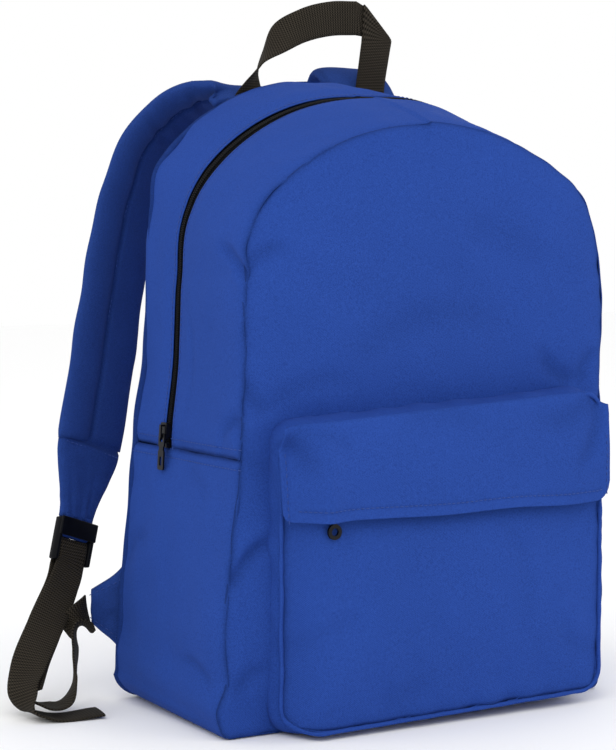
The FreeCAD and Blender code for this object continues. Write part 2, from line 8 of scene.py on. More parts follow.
import bmesh
import bpy
import numpy as np
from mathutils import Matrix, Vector


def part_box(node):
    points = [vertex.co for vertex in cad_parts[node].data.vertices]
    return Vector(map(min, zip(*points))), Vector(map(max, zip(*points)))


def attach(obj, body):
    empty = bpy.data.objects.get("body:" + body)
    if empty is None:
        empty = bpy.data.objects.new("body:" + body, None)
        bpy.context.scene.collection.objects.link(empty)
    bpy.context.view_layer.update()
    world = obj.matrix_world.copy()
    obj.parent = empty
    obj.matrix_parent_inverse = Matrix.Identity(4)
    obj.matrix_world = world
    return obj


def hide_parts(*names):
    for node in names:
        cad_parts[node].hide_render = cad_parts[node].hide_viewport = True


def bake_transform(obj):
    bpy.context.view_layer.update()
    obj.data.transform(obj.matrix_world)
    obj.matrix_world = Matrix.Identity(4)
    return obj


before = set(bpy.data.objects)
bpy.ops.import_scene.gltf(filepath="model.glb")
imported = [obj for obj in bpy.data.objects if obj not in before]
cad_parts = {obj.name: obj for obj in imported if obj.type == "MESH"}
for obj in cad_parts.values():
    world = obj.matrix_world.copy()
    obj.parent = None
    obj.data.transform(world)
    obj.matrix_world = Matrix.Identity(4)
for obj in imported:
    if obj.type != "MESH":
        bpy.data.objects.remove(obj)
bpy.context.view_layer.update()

MM = 0.001


# ---------------- the frame's numbers, and the arches fitted to the photograph

def cad_box(node):
    """Lowest and highest corner of a CAD node, in millimetres."""
    low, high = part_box(node)
    return np.array(low) / MM, np.array(high) / MM


FRONT_Y = cad_box("front_panel")[0][1]
BACK_Y = cad_box("back_panel")[1][1]
DEPTH = BACK_Y - FRONT_Y
FRONT_ARCH = {"base": 156.0, "side": 142.0, "spring": 300.0, "corner": 70.0}
FRONT_ARCH["apex"] = cad_box("front_panel")[1][2]
FRONT_RIGHT_ARCH = {**FRONT_ARCH, "spring": 320.0, "corner": 52.0, "apex": FRONT_ARCH["apex"] + 2}
BACK_ARCH = {"base": 157.0, "side": 138.0, "spring": 322.0, "corner": 75.0}
BACK_ARCH["apex"] = cad_box("back_panel")[1][2]
BACK_LEFT_ARCH = {**BACK_ARCH, "side": 134.0, "spring": 348.0, "corner": 44.0}
BACK_RIGHT_ARCH = {**BACK_ARCH, "spring": 346.0, "corner": 54.0}
SEAM_Z = cad_box("side_panel_left")[1][2]
ZIP_LOW_Y = cad_box("front_gusset")[1][1]
ZIP_HIGH_Y = cad_box("rear_gusset")[0][1]
ZIP_Y = (ZIP_LOW_Y + ZIP_HIGH_Y) / 2
FABRIC = 1.0


# ---------------- small maths

def unit(vectors):
    """Vectors of length one."""
    vectors = np.asarray(vectors, float)
    return vectors / np.maximum(np.linalg.norm(vectors, axis=-1, keepdims=True), 1e-9)


def ease(t):
    """0 below 0, 1 above 1, and smooth between them."""
    t = np.clip(t, 0.0, 1.0)
    return t * t * (3 - 2 * t)


def through(x, knots):
    """Smooth value at x through a few (place, value) knots, level at each of them."""
    places, values = (np.array(column, float) for column in zip(*knots))
    x = np.asarray(x, float)
    i = np.clip(np.searchsorted(places, x) - 1, 0, len(places) - 2)
    t = ease((x - places[i]) / (places[i + 1] - places[i]))
    return values[i] + (values[i + 1] - values[i]) * t


def ripple(seed, wavelength, *coords):
    """Smooth unevenness between about -1 and 1 over the coordinates, the same each time for one seed."""
    rng = np.random.default_rng(seed)
    total = 0.0
    for _ in range(7):
        direction = unit(rng.normal(size=len(coords)))
        turn = 2 * math.pi / (wavelength * rng.uniform(0.6, 1.5))
        phase = rng.uniform(0, 2 * math.pi)
        total = total + np.sin(turn * sum(d * c for d, c in zip(direction, coords)) + phase)
    return total / 2.6


def crease(a, b, start, end, depth, width):
    """Depth of a soft fold along the line from start to end, over the coordinates a and b."""
    start, end = np.array(start, float), np.array(end, float)
    line = end - start
    length = np.linalg.norm(line)
    line = line / length
    along = (a - start[0]) * line[0] + (b - start[1]) * line[1]
    beside = (a - start[0]) * -line[1] + (b - start[1]) * line[0]
    bend = 0.12 * length * np.sin(np.pi * np.clip(along / length, 0, 1))
    fade = ease(along / (0.25 * length) + 0.5) * ease((length - along) / (0.5 * length) + 0.3)
    return depth * np.exp(-((beside - bend) / width) ** 2) * fade


def smooth_rows(rows, step):
    """Rows that start with a place, resampled every step or so on a smooth curve through them."""
    rows = np.asarray(rows, float)
    gaps = np.linalg.norm(np.diff(rows[:, :3], axis=0), axis=1)
    slopes = np.diff(rows, axis=0) / gaps[:, None]
    inner = (slopes[:-1] * gaps[1:, None] + slopes[1:] * gaps[:-1, None]) / (gaps[1:] + gaps[:-1])[:, None]
    tangents = np.vstack([slopes[:1], inner, slopes[-1:]])
    out = []
    for i, gap in enumerate(gaps):
        t = np.linspace(0, 1, max(2, int(round(gap / step))) + 1)[:-1, None]
        here = rows[i] * (2 * t**3 - 3 * t**2 + 1) + rows[i + 1] * (3 * t**2 - 2 * t**3)
        lean = tangents[i] * (t**3 - 2 * t**2 + t) + tangents[i + 1] * (t**3 - t**2)
        out.append(here + gap * lean)
    out.append(rows[-1:])
    return np.vstack(out)


def arc_lengths(points):
    """Distance along a line of points, from its start to each of them."""
    steps = np.linalg.norm(np.diff(points, axis=0), axis=1)
    return np.concatenate([[0.0], np.cumsum(steps)])


def evenly(points, count):
    """The same line, as count points evenly spaced."""
    at = arc_lengths(points)
    wanted = np.linspace(0, at[-1], count)
    return np.stack([np.interp(wanted, at, points[:, k]) for k in range(points.shape[1])], axis=1)


def ribbon_frames(rows):
    """Centre, across and normal directions of a ribbon from rows of its centre and edge direction."""
    centre, edge = rows[:, :3], rows[:, 3:6]
    tangent = unit(np.gradient(centre, axis=0))
    across = unit(edge - tangent * np.sum(edge * tangent, axis=1, keepdims=True))
    return centre, across, np.cross(across, tangent)


# ---------------- meshes

def finish_mesh(name, verts, faces, uvs, shade):
    """Mesh object from arrays in millimetres, cleaned and with its faces turned outward."""
    mesh = bpy.data.meshes.new(name)
    mesh.from_pydata((np.asarray(verts) * MM).tolist(), [], np.asarray(faces).tolist())
    layer = mesh.uv_layers.new(name="UVMap")
    layer.data.foreach_set("uv", (np.asarray(uvs, np.float32) * MM).reshape(-1))
    # The shade attribute holds painted shade for seams, folds and joins.
    painted_shade = mesh.attributes.new("shade", "FLOAT", "POINT")
    painted_shade.data.foreach_set("value", np.asarray(shade, np.float32))
    work = bmesh.new()
    work.from_mesh(mesh)
    bmesh.ops.remove_doubles(work, verts=work.verts, dist=1e-5)
    bmesh.ops.dissolve_degenerate(work, edges=work.edges, dist=1e-6)
    bmesh.ops.recalc_face_normals(work, faces=work.faces)
    for face in work.faces:
        face.smooth = True
    work.to_mesh(mesh)
    work.free()
    obj = bpy.data.objects.new(name, mesh)
    bpy.context.scene.collection.objects.link(obj)
    return obj


def grid_object(name, points, uv=None, shade=None, wrap_rows=False, wrap_cols=False, caps=False):
    """Object from a grid of points. Without uv, the texture follows lengths along the grid."""
    rows, cols = points.shape[:2]
    index = np.arange(rows * cols).reshape(rows, cols)
    if wrap_rows:
        index = np.vstack([index, index[:1]])
    if wrap_cols:
        index = np.hstack([index, index[:, :1]])
    flat = points.reshape(-1, 3)
    spread = flat[index]
    if uv is None:
        down = np.linalg.norm(np.diff(spread, axis=0), axis=2).mean(axis=1)
        right = np.linalg.norm(np.diff(spread, axis=1), axis=2).mean(axis=0)
        u = np.concatenate([[0.0], np.cumsum(down)])
        v = np.concatenate([[0.0], np.cumsum(right)])
        uv_grid = np.stack(np.meshgrid(u, v, indexing="ij"), axis=-1)
    else:
        uv_grid = uv.reshape(-1, 2)[index]

    def quads(grid):
        corners = [grid[:-1, :-1], grid[1:, :-1], grid[1:, 1:], grid[:-1, 1:]]
        return np.stack(corners, axis=2)

    faces = quads(index).reshape(-1, 4)
    uvs = quads(uv_grid).reshape(-1, 2)
    if caps:
        half = cols // 2
        for row in (0, rows - 1):
            ring = index[row, :cols]
            for k in range(half - 1):
                face = [ring[k], ring[k + 1], ring[cols - 2 - k], ring[cols - 1 - k]]
                faces = np.vstack([faces, face])
                uvs = np.vstack([uvs, uv_grid[row, [k, k + 1, k + 1, k]]])
    painted_shade = np.zeros(rows * cols) if shade is None else shade.reshape(-1)
    return finish_mesh(name, flat, faces, uvs, painted_shade)


def grid_normals(points, away_from, wrap_rows=False):
    """Unit normals of a grid of points, turned away from a point."""
    padded = np.concatenate([points[-1:], points, points[:1]]) if wrap_rows else points
    normal = np.cross(np.gradient(padded, axis=0), np.gradient(padded, axis=1))
    if wrap_rows:
        normal = normal[1:-1]
    normal = unit(normal)
    if np.sum(normal * (points - np.asarray(away_from))) < 0:
        normal = -normal
    return normal


def cloth_object(name, points, normals, thickness=FABRIC, uv=None, shade=None, wrap_rows=False):
    """A sheet with a real thickness and rounded long edges, its outside on the given points."""
    inner = points - normals * thickness
    first = (points[:, :1] + inner[:, :1]) / 2 - unit(points[:, 1:2] - points[:, :1]) * thickness / 2
    last = (points[:, -1:] + inner[:, -1:]) / 2 + unit(points[:, -1:] - points[:, -2:-1]) * thickness / 2
    loop = np.concatenate([first, points, last, inner[:, ::-1]], axis=1)

    def around(values):
        return np.concatenate([values[:, :1], values, values[:, -1:], values[:, ::-1]], axis=1)

    if uv is None:
        down = arc_lengths(points[:, points.shape[1] // 2])
        right = arc_lengths(points[points.shape[0] // 2])
        uv = np.stack(np.meshgrid(down, right, indexing="ij"), axis=-1)
    shade = np.zeros(points.shape[:2]) if shade is None else shade
    closed = {"wrap_rows": wrap_rows, "wrap_cols": True, "caps": not wrap_rows}
    return grid_object(name, loop, uv=around(uv), shade=around(shade), **closed)


def loft_object(name, centre, across, normal, section, shade=None):
    """Closed solid through sections given as (across, normal) offsets, with closed ends."""
    count = len(centre)
    section = np.broadcast_to(section, (count,) + np.shape(section)[-2:])
    points = centre[:, None] + across[:, None] * section[..., :1] + normal[:, None] * section[..., 1:]
    return grid_object(name, points, shade=shade, wrap_cols=True, caps=True)


def copies_object(name, shape, faces, origins, x_axes, y_axes, z_axes):
    """Many copies of one small shape, each with its own place and axes, as one mesh."""
    shape = np.asarray(shape)
    axes = np.stack([x_axes, y_axes, z_axes], axis=1)
    verts = origins[:, None] + np.einsum("vk,nkd->nvd", shape, axes)
    steps = np.arange(len(origins)) * len(shape)
    all_faces = (np.asarray(faces)[None] + steps[:, None, None]).reshape(-1, 4)
    uvs = np.zeros((all_faces.size, 2))
    return finish_mesh(name, verts.reshape(-1, 3), all_faces, uvs, np.zeros(len(origins) * len(shape)))


def bent_capsule(length, radius, rise):
    """Points and quads of a short six-sided rod along x that arches up by rise at its middle."""
    sides = stations = 6
    ring = np.arange(sides) * 2 * math.pi / sides
    points = []
    for t in np.linspace(-1, 1, stations):
        thin = radius * (0.35 if abs(t) > 0.99 else 1.0)
        for angle in ring:
            height = rise * (1 - t * t) + thin * math.sin(angle)
            points.append([t * length / 2, thin * math.cos(angle), height])
    faces = []
    for base in range(0, (stations - 1) * sides, sides):
        for k in range(sides):
            after = (k + 1) % sides
            faces.append([base + k, base + after, base + sides + after, base + sides + k])
    for base, order in ((0, (0, 1, 2, 3, 4, 5)), ((stations - 1) * sides, (5, 4, 3, 2, 1, 0))):
        for corners in ((0, 1, 2, 3), (0, 3, 4, 5)):
            faces.append([base + order[k] for k in corners])
    return points, faces


def rounded_section(width, thickness):
    """Outline of a flat strap with rounded edges."""
    half, thick = width / 2, thickness / 2
    face = [(half * (1 - thickness / width) * t, thick) for t in np.linspace(-1, 1, 9)]
    top = [(-half, 0.45 * thick)] + face + [(half, 0.45 * thick)]
    return np.array(top + [(x, -z) for x, z in reversed(top)])


def pad_section(x, top, bottom):
    """Closed outline of a pad's section from its heights above and below its middle plane."""
    return np.concatenate([np.stack([x, top], 1), np.stack([x, bottom], 1)[::-1][1:-1]])


# ---------------- materials

def node(tree, kind, **settings):
    """A shader node with some of its inputs or properties set."""
    made = tree.nodes.new(kind)
    for key, value in settings.items():
        if key in made.inputs:
            made.inputs[key].default_value = value
        else:
            setattr(made, key, value)
    return made


def noise(tree, scale, detail):
    """Noise, 0 to 1, over the object's own coordinates."""
    place = tree.nodes.new("ShaderNodeTexCoord")
    made = node(tree, "ShaderNodeTexNoise", Scale=scale, Detail=detail)
    tree.links.new(place.outputs["Object"], made.inputs["Vector"])
    return made.outputs["Fac"]


def maths(tree, operation, first, second=None):
    """A Math node joined to sockets or numbers."""
    made = tree.nodes.new("ShaderNodeMath")
    made.operation = operation
    for slot, value in enumerate((first, second)):
        if value is None:
            continue
        if isinstance(value, (int, float)):
            made.inputs[slot].default_value = value
        else:
            tree.links.new(value, made.inputs[slot])
    return made.outputs[0]


def start_material(name, roughness, specular, sheen=0.0, sheen_roughness=0.5):
    """A material with one Principled shader whose constant values are set on its own sockets."""
    made = bpy.data.materials.new(name)
    made.use_nodes = True
    shader = made.node_tree.nodes["Principled BSDF"]
    shader.inputs["Roughness"].default_value = roughness
    shader.inputs["Specular IOR Level"].default_value = specular
    shader.inputs["Sheen Weight"].default_value = sheen
    shader.inputs["Sheen Roughness"].default_value = sheen_roughness
    return made, made.node_tree, shader


def mixed(tree, share, dark, colour):
    """Colour between dark and colour by a share socket."""
    mix = node(tree, "ShaderNodeMix", data_type="RGBA")
    tree.links.new(share, mix.inputs[0])
    mix.inputs[6].default_value = (*dark, 1)
    mix.inputs[7].default_value = (*colour, 1)
    return mix.outputs[2]


# How strongly the painted shade in seams, folds and joins darkens the base colour.
PAINTED_SHADE_STRENGTH = 0.5


def coloured(tree, shader, colour, dark, pattern, uneven_scale, uneven=0.10):
    """Base colour: thread pattern, slow unevenness and painted shade in seams and folds, read from the
    shade attribute.
    """
    slow = maths(tree, "SUBTRACT", noise(tree, uneven_scale, 4.0), 0.5)
    slow = maths(tree, "MULTIPLY", slow, uneven * 2)
    # Painted shade: the mesh's shade attribute darkens the colour where shade falls in seams, folds and
    # joins.
    painted_shade = node(tree, "ShaderNodeAttribute", attribute_name="shade")
    darker = maths(tree, "MULTIPLY", painted_shade.outputs["Fac"], -PAINTED_SHADE_STRENGTH)
    value = maths(tree, "ADD", maths(tree, "ADD", slow, darker), 1.0)
    tint = tree.nodes.new("ShaderNodeHueSaturation")
    tree.links.new(mixed(tree, pattern, dark, colour), tint.inputs["Color"])
    tree.links.new(value, tint.inputs["Value"])
    tree.links.new(tint.outputs["Color"], shader.inputs["Base Color"])


def uv_waves(tree, pitch_u, pitch_v):
    """Two waves, -1 to 1, across the texture's u and v directions, with their pitches in metres."""
    uv = node(tree, "ShaderNodeUVMap", uv_map="UVMap")
    split = tree.nodes.new("ShaderNodeSeparateXYZ")
    tree.links.new(uv.outputs["UV"], split.inputs["Vector"])
    waves = []
    for axis, pitch in (("X", pitch_u), ("Y", pitch_v)):
        turned = maths(tree, "MULTIPLY", split.outputs[axis], 2 * math.pi / pitch)
        waves.append(maths(tree, "SINE", turned))
    return waves


def add_bump(tree, shader, height, distance, strength):
    """Bump from a height socket."""
    bump = node(tree, "ShaderNodeBump", Strength=strength, Distance=distance)
    tree.links.new(height, bump.inputs["Height"])
    tree.links.new(bump.outputs["Normal"], shader.inputs["Normal"])


def plain_weave(name, colour, dark, pitch):
    """Plain-weave polyester: over-and-under threads, faint slubs and a low sheen."""
    made, tree, shader = start_material(name, 0.88, 0.05, 0.02, 0.45)
    u, v = uv_waves(tree, pitch, pitch)
    checker = maths(tree, "MULTIPLY", u, v)
    slub = noise(tree, 1100.0, 2.0)
    speck = maths(tree, "MULTIPLY", maths(tree, "SUBTRACT", slub, 0.5), 2.0)
    pattern = maths(tree, "ADD", maths(tree, "MULTIPLY", checker, 0.3), speck)
    pattern = maths(tree, "ADD", pattern, 0.6)
    coloured(tree, shader, colour, dark, pattern, 9.0)
    height = maths(tree, "ADD", checker, maths(tree, "MULTIPLY", slub, 1.2))
    add_bump(tree, shader, height, 0.00012, 0.6)
    shader.inputs["Sheen Tint"].default_value = (0.45, 0.6, 1.0, 1)
    return made


def ribbed_webbing(name, colour, dark, pitch):
    """Woven webbing: ribs across its width, each broken into raised threads."""
    made, tree, shader = start_material(name, 0.8, 0.05, 0.02, 0.4)
    u, v = uv_waves(tree, pitch, pitch * 0.9)
    checker = maths(tree, "MULTIPLY", u, v)
    broken = maths(tree, "MULTIPLY", checker, 0.65)
    raised = maths(tree, "ADD", maths(tree, "MULTIPLY", u, 0.35), broken)
    pattern = maths(tree, "ADD", maths(tree, "MULTIPLY", raised, 0.75), 0.4)
    coloured(tree, shader, colour, dark, pattern, 40.0, 0.15)
    add_bump(tree, shader, raised, 0.0003, 0.8)
    return made


def moulded(name, colour, roughness, specular):
    """Moulded plastic, enamelled metal or thread: fine grain and handling marks."""
    made, tree, shader = start_material(name, roughness, specular)
    marks = noise(tree, 120.0, 5.0)
    shades = [[channel * share for channel in colour] for share in (0.7, 1.3)]
    tree.links.new(mixed(tree, marks, *shades), shader.inputs["Base Color"])
    rough = maths(tree, "ADD", maths(tree, "MULTIPLY", marks, 0.2), roughness - 0.1)
    tree.links.new(rough, shader.inputs["Roughness"])
    add_bump(tree, shader, noise(tree, 1400.0, 3.0), 0.00003, 0.5)
    return made


BLUE = (0.0235, 0.070, 0.335)
BLUE_DARK = (0.0145, 0.044, 0.225)
# The strap blue is the bag's blue cloth darkened: painted shade for the straps' faces turned towards the
# bag.
SHADED_STRAP_BLUE = (0.020, 0.054, 0.235)
SHADED_STRAP_DARK = (0.012, 0.033, 0.155)
LOOKS = {
    "bag_fabric": plain_weave("bag_polyester", BLUE, BLUE_DARK, 0.0011),
    "strap_fabric": plain_weave("strap_polyester_shaded", SHADED_STRAP_BLUE, SHADED_STRAP_DARK, 0.0013),
    "webbing": ribbed_webbing("black_webbing", (0.060, 0.050, 0.038), (0.003, 0.003, 0.002), 0.0021),
    "zip_tape": ribbed_webbing("zipper_tape", (0.0025, 0.003, 0.005), (0.001, 0.0012, 0.002), 0.0009),
    "zip_coil": moulded("nylon_coil", (0.002, 0.0025, 0.004), 0.45, 0.12),
    "zip_metal": moulded("enamelled_zinc", (0.0015, 0.0015, 0.003), 0.35, 0.2),
    "buckle_plastic": moulded("black_acetal", (0.0012, 0.0015, 0.003), 0.5, 0.1),
}
THREAD_BLUE = moulded("blue_thread", (0.022, 0.058, 0.26), 0.6, 0.3)
THREAD_BLACK = moulded("black_thread", (0.030, 0.028, 0.026), 0.55, 0.3)


def place_piece(obj, look, body="root", replaces=(), material=None):
    """Give a piece its finish, its body and the CAD nodes it stands for."""
    obj.data.materials.clear()
    obj.data.materials.append(material or LOOKS[look])
    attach(obj, body)
    if replaces:
        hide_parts(*replaces)
    return obj


THREAD_RADIUS = 0.32
THREAD_RISE = 0.22


def stitches(name, line, normals, look, body="root", pitch=3.6, length=2.7, material=THREAD_BLUE):
    """A row of thread stitches lying on a surface along a line."""
    line = np.asarray(line)
    count = max(2, int(arc_lengths(line)[-1] / pitch))
    rows = evenly(np.hstack([line, normals]), count)
    at, up = rows[:, :3], unit(rows[:, 3:])
    along = unit(np.gradient(at, axis=0))
    side = unit(np.cross(up, along))
    shape, faces = bent_capsule(length, THREAD_RADIUS, THREAD_RISE)
    obj = copies_object(name, shape, faces, at + up * 0.02, along, side, up)
    return place_piece(obj, look, body, material=material)


# ---------------- the bag's form

FLOOR_CLEAR = 0.3
FRONT_BASE_CORNER = 7.0
BACK_BASE_CORNER = 22.0
FLOOR_COUNT = 30
CORNER_COUNT = 9
LOW_COUNT = 52
HIGH_COUNT = 38
SIDE_TOP_Z = 300.0
CROWN_COUNT = 84
ARC_COUNT = 40
FRONT_SWELL = [
    (0, 2), (18, 7), (37, 0.5), (62, 3.8), (82, 3.5),
    (130, 0.8), (160, -2.6), (232, -3.2), (296, -1.0), (330, 0),
]
FRONT_RIGHT_SWELL = [(0, -6), (40, -5), (62, -1), (130, 1), (215, 2), (276, 6), (306, 4), (340, 0)]
BACK_SWELL = [(0, 2), (20, 5), (70, 4), (140, 2), (185, 1), (244, -3.5), (330, -3.5), (400, 0)]


def half_outline(arch, swell, side, foot):
    """Half of an arch from the middle of the base to the apex, as rows of x and z on one side."""
    base, wall, spring = arch["base"], arch["side"], arch["spring"]
    corner, apex = arch["corner"], arch["apex"]
    corner_x = wall - corner
    rise = apex - spring
    crown = (corner_x**2 + rise**2 - corner**2) / (2 * (rise - corner))
    crown_z = apex - crown
    lean = math.atan2(corner_x, spring - crown_z)
    floor_x = np.linspace(0, base - foot, FLOOR_COUNT, endpoint=False)
    floor = np.stack([floor_x, np.zeros_like(floor_x)], axis=1)
    turn = np.linspace(-math.pi / 2, 0, CORNER_COUNT + 1)[:-1]
    corner_part = np.stack([base - foot + foot * np.cos(turn), foot * (1 + np.sin(turn))], axis=1)
    side_z = np.concatenate([
        np.linspace(foot, SEAM_Z, LOW_COUNT, endpoint=False),
        np.linspace(SEAM_Z, SIDE_TOP_Z, HIGH_COUNT, endpoint=False),
    ])
    wall_part = np.stack([base + (wall - base) * side_z / spring, side_z], axis=1)
    start_x = base + (wall - base) * SIDE_TOP_Z / spring
    shoulder = np.linspace(0, math.pi / 2 - lean, ARC_COUNT)
    over = np.linspace(lean, 0, ARC_COUNT)[1:]
    dense = np.vstack([
        [[start_x, SIDE_TOP_Z]],
        np.stack([corner_x + corner * np.cos(shoulder), spring + corner * np.sin(shoulder)], axis=1),
        np.stack([crown * np.sin(over), crown_z + crown * np.cos(over)], axis=1),
    ])
    top_part = evenly(dense, CROWN_COUNT)
    rows = np.vstack([floor, corner_part, wall_part, top_part])
    push = through(rows[:, 1], swell) * ease((rows[:, 0] - base * 0.6) / (base * 0.3))
    rows[:, 0] = side * (rows[:, 0] + push)
    return rows


PINCH = [(0, 0), (284, 0), (300, -1.6), (318, 0), (500, 0)]
LEFT_FRONT = half_outline(FRONT_ARCH, FRONT_SWELL, -1, FRONT_BASE_CORNER)
LEFT_FRONT[:, 0] -= through(LEFT_FRONT[:, 1], PINCH)
RIGHT_FRONT = half_outline(FRONT_RIGHT_ARCH, FRONT_RIGHT_SWELL, 1, FRONT_BASE_CORNER)
LEFT_BACK = half_outline(BACK_LEFT_ARCH, BACK_SWELL, -1, BACK_BASE_CORNER)
RIGHT_BACK = half_outline(BACK_RIGHT_ARCH, BACK_SWELL, 1, BACK_BASE_CORNER)
CORNER_INDEX = FLOOR_COUNT - 1
SEAM_INDEX = FLOOR_COUNT + CORNER_COUNT + LOW_COUNT


DEPTH_STEP = 3.6
ZIP_DRIFT = -12.0
ZIP_GAP = 2.0
ZIP_RISE = 6.0
RIGHT_FULLNESS = 4.0


def depths(start, end):
    """Depth values from start to end, closer together at both ends, where the cloth turns into a seam."""
    ends = np.array([0, 0.8, 1.8, 3.2, 5.2])
    middle = np.linspace(start + 8, end - 8, max(2, int((end - start - 16) / DEPTH_STEP)))
    return np.concatenate([start + ends, middle, (end - ends)[::-1]])


def zip_drift(z):
    """How far the main zipper runs forward of its own plane at height z, over the bag's top."""
    return ZIP_DRIFT * ease((z - 322) / 45)


def zip_gap(z):
    """How much further each gusset stands off the main zipper at height z than on the sides."""
    return ZIP_GAP * ease((z - 300) / 90)


def zip_rise(x, z):
    """How far the cloth beside the main zipper stands up at the right of the bag's top."""
    return ZIP_RISE * ease((x - 5) / 50) * ease((z - 340) / 45)


def on_body(front, back, y):
    """Points between the bag's two outlines at the depths y, straight from one to the other."""
    share = ((y - FRONT_Y) / DEPTH)[..., None]
    flat = front * (1 - share) + back * share
    return np.stack([flat[..., 0], y, flat[..., 1]], axis=-1)


def body_band(front, back, y_values, seams, seed, folds=()):
    """Grid of points on the bag between its two outlines, with its outward directions.

    seams says which of low, high, start and end are sewn seams that draw the cloth in.
    """
    straight = on_body(front[:, None], back[:, None], np.tile(y_values, (len(front), 1)))
    pull = np.interp(y_values, [FRONT_Y, ZIP_LOW_Y, ZIP_HIGH_Y, BACK_Y], [0, 1, 1, 0])
    apart = np.where(y_values < ZIP_Y, -pull, pull)
    ups = straight[..., 2]
    y = y_values[None] + zip_drift(ups) * pull[None] + zip_gap(ups) * apart[None]
    points = on_body(front[:, None], back[:, None], y)
    normals = grid_normals(points, (0, 0, 150))
    along = arc_lengths(front)[:, None] + np.zeros((1, len(y_values)))
    distance = {
        "low": y - y[:, :1],
        "high": y[:, -1:] - y,
        "start": along - along[0],
        "end": along[-1] - along,
    }
    near = np.min([distance[seam] for seam in seams], axis=0)
    across, ups = points[..., 0], points[..., 2]
    above = ease((ups - 6) / 30)
    lift = 2.4 * (1 - np.exp(-near / 9)) * above - 0.9 * np.exp(-near / 2.0)
    fuller = ease(across / 60) * ease((370 - ups) / 60)
    lift = lift + RIGHT_FULLNESS * fuller * above * (1 - np.exp((FRONT_Y - y) / 6))
    lift = lift + 0.8 * above * np.exp(-near / 10) * ripple(seed, 34, along, y * 0.35)
    lift = lift + above * (1.0 * ripple(seed + 1, 120, along, y) + 0.35 * ripple(seed + 2, 38, along, y))
    folded = np.zeros_like(lift)
    for side, *fold in folds:
        folded = folded + (across * side > 0) * crease(y, ups, *fold)
    to_zip = np.minimum(np.abs(y_values - ZIP_LOW_Y), np.abs(y_values - ZIP_HIGH_Y))[None]
    calm = np.where(ups > SEAM_Z - 12, ease(to_zip / 16), 1.0)
    lift = lift * (0.15 + 0.85 * calm) + folded * (0.3 + 0.7 * calm)
    from_zip = y - ZIP_Y - zip_drift(ups)
    lift = lift + zip_rise(across, ups) * np.exp(-((from_zip / 26) ** 2))
    points = points + normals * lift[..., None]
    points[..., 2] = np.maximum(points[..., 2], FLOOR_CLEAR)
    # Painted shade: darker along the seams and in the folds' hollows.
    painted_shade = np.clip(np.exp(-near / 1.6) * 0.7 + np.clip(-folded, 0, 2) * 0.12, 0, 1)
    return points, grid_normals(points, (0, 0, 150)), painted_shade


SIDE_FOLDS = [
    (-1, (-73, 206), (-50, 184), -3.2, 4),
    (-1, (-68, 198), (-44, 177), 2.0, 4),
    (-1, (-73, 296), (-46, 316), -3.4, 4),
    (-1, (-72, 290), (-58, 300), 1.6, 4),
    (-1, (2, 190), (10, 292), -0.8, 2.5),
    (-1, (-60, 34), (-20, 44), -1.8, 4),
    (-1, (40, 120), (68, 96), -1.5, 7),
    (-1, (-40, 150), (-5, 168), -1.0, 6),
    (1, (-70, 200), (-45, 182), -2.0, 6),
    (1, (-62, 40), (-25, 48), -1.8, 8),
    (1, (-68, 304), (-35, 316), -1.5, 6),
    (1, (30, 130), (64, 104), -1.5, 8),
]


def build_body():
    """Base, lower side panels and the two gussets, each its own cloth piece."""
    base_front = np.vstack([RIGHT_FRONT[CORNER_INDEX:0:-1], LEFT_FRONT[: CORNER_INDEX + 1]])
    base_back = np.vstack([RIGHT_BACK[CORNER_INDEX:0:-1], LEFT_BACK[: CORNER_INDEX + 1]])
    whole = depths(FRONT_Y, BACK_Y)
    all_round = ("low", "high", "start", "end")
    points, normals, painted_shade = body_band(base_front, base_back, whole, all_round, 11)
    obj = cloth_object("base_cloth", points, normals, shade=painted_shade)
    place_piece(obj, "bag_fabric", replaces=["base_panel"])
    sides = (("left", LEFT_FRONT, LEFT_BACK, 21), ("right", RIGHT_FRONT, RIGHT_BACK, 31))
    for side, front, back, seed in sides:
        part = slice(CORNER_INDEX, SEAM_INDEX + 1)
        points, normals, painted_shade = body_band(front[part], back[part], whole, all_round, seed, SIDE_FOLDS)
        obj = cloth_object(f"side_cloth_{side}", points, normals, shade=painted_shade)
        place_piece(obj, "bag_fabric", replaces=[f"side_panel_{side}"])
        stitches(f"side_stitch_{side}", points[-3], normals[-3], "bag_fabric")
    over_front = np.vstack([LEFT_FRONT[SEAM_INDEX:], RIGHT_FRONT[SEAM_INDEX:-1][::-1]])
    over_back = np.vstack([LEFT_BACK[SEAM_INDEX:], RIGHT_BACK[SEAM_INDEX:-1][::-1]])
    bands = (
        ("front", depths(FRONT_Y, ZIP_LOW_Y), ("low", "start", "end"), 41, "front_seam_binding", -3),
        ("rear", depths(ZIP_HIGH_Y, BACK_Y), ("high", "start", "end"), 51, "back_seam_binding", 2),
    )
    for name, ys, seams, seed, hidden, stitch_col in bands:
        points, normals, painted_shade = body_band(over_front, over_back, ys, seams, seed, SIDE_FOLDS)
        obj = cloth_object(f"{name}_gusset_cloth", points, normals, shade=painted_shade)
        place_piece(obj, "bag_fabric", replaces=[f"{name}_gusset", hidden])
        stitches(f"{name}_gusset_stitch", points[:, stitch_col], normals[:, stitch_col], "bag_fabric")
        for end, row in (("left", 2), ("right", -3)):
            stitches(f"{name}_cross_stitch_{end}", points[row], normals[row], "bag_fabric")
    return over_front, over_back


OVER_FRONT, OVER_BACK = build_body()


# ---------------- front and back panels

EDGE_STEPS = np.array([0, 0.003, 0.008, 0.015, 0.025, 0.04, 0.06])
SHARES = np.concatenate([EDGE_STEPS, np.linspace(0.085, 0.915, 62), (1 - EDGE_STEPS)[::-1]])
PANEL_INSET = 0.8
BACK_PAD_THICKNESS = 8.0


def ring_steps(ring):
    """Direction of a closed ring of points at each of them."""
    return unit(np.roll(ring, -1, axis=0) - np.roll(ring, 1, axis=0))


def panel_ring(left, right, inset):
    """Closed outline of a panel, brought in by inset: up its left side and down its right."""
    ring = np.vstack([left[CORNER_INDEX:], right[CORNER_INDEX:-1][::-1]])
    step = ring_steps(ring)
    inward = np.stack([step[:, 1], -step[:, 0]], axis=1)
    return ring + inward * inset


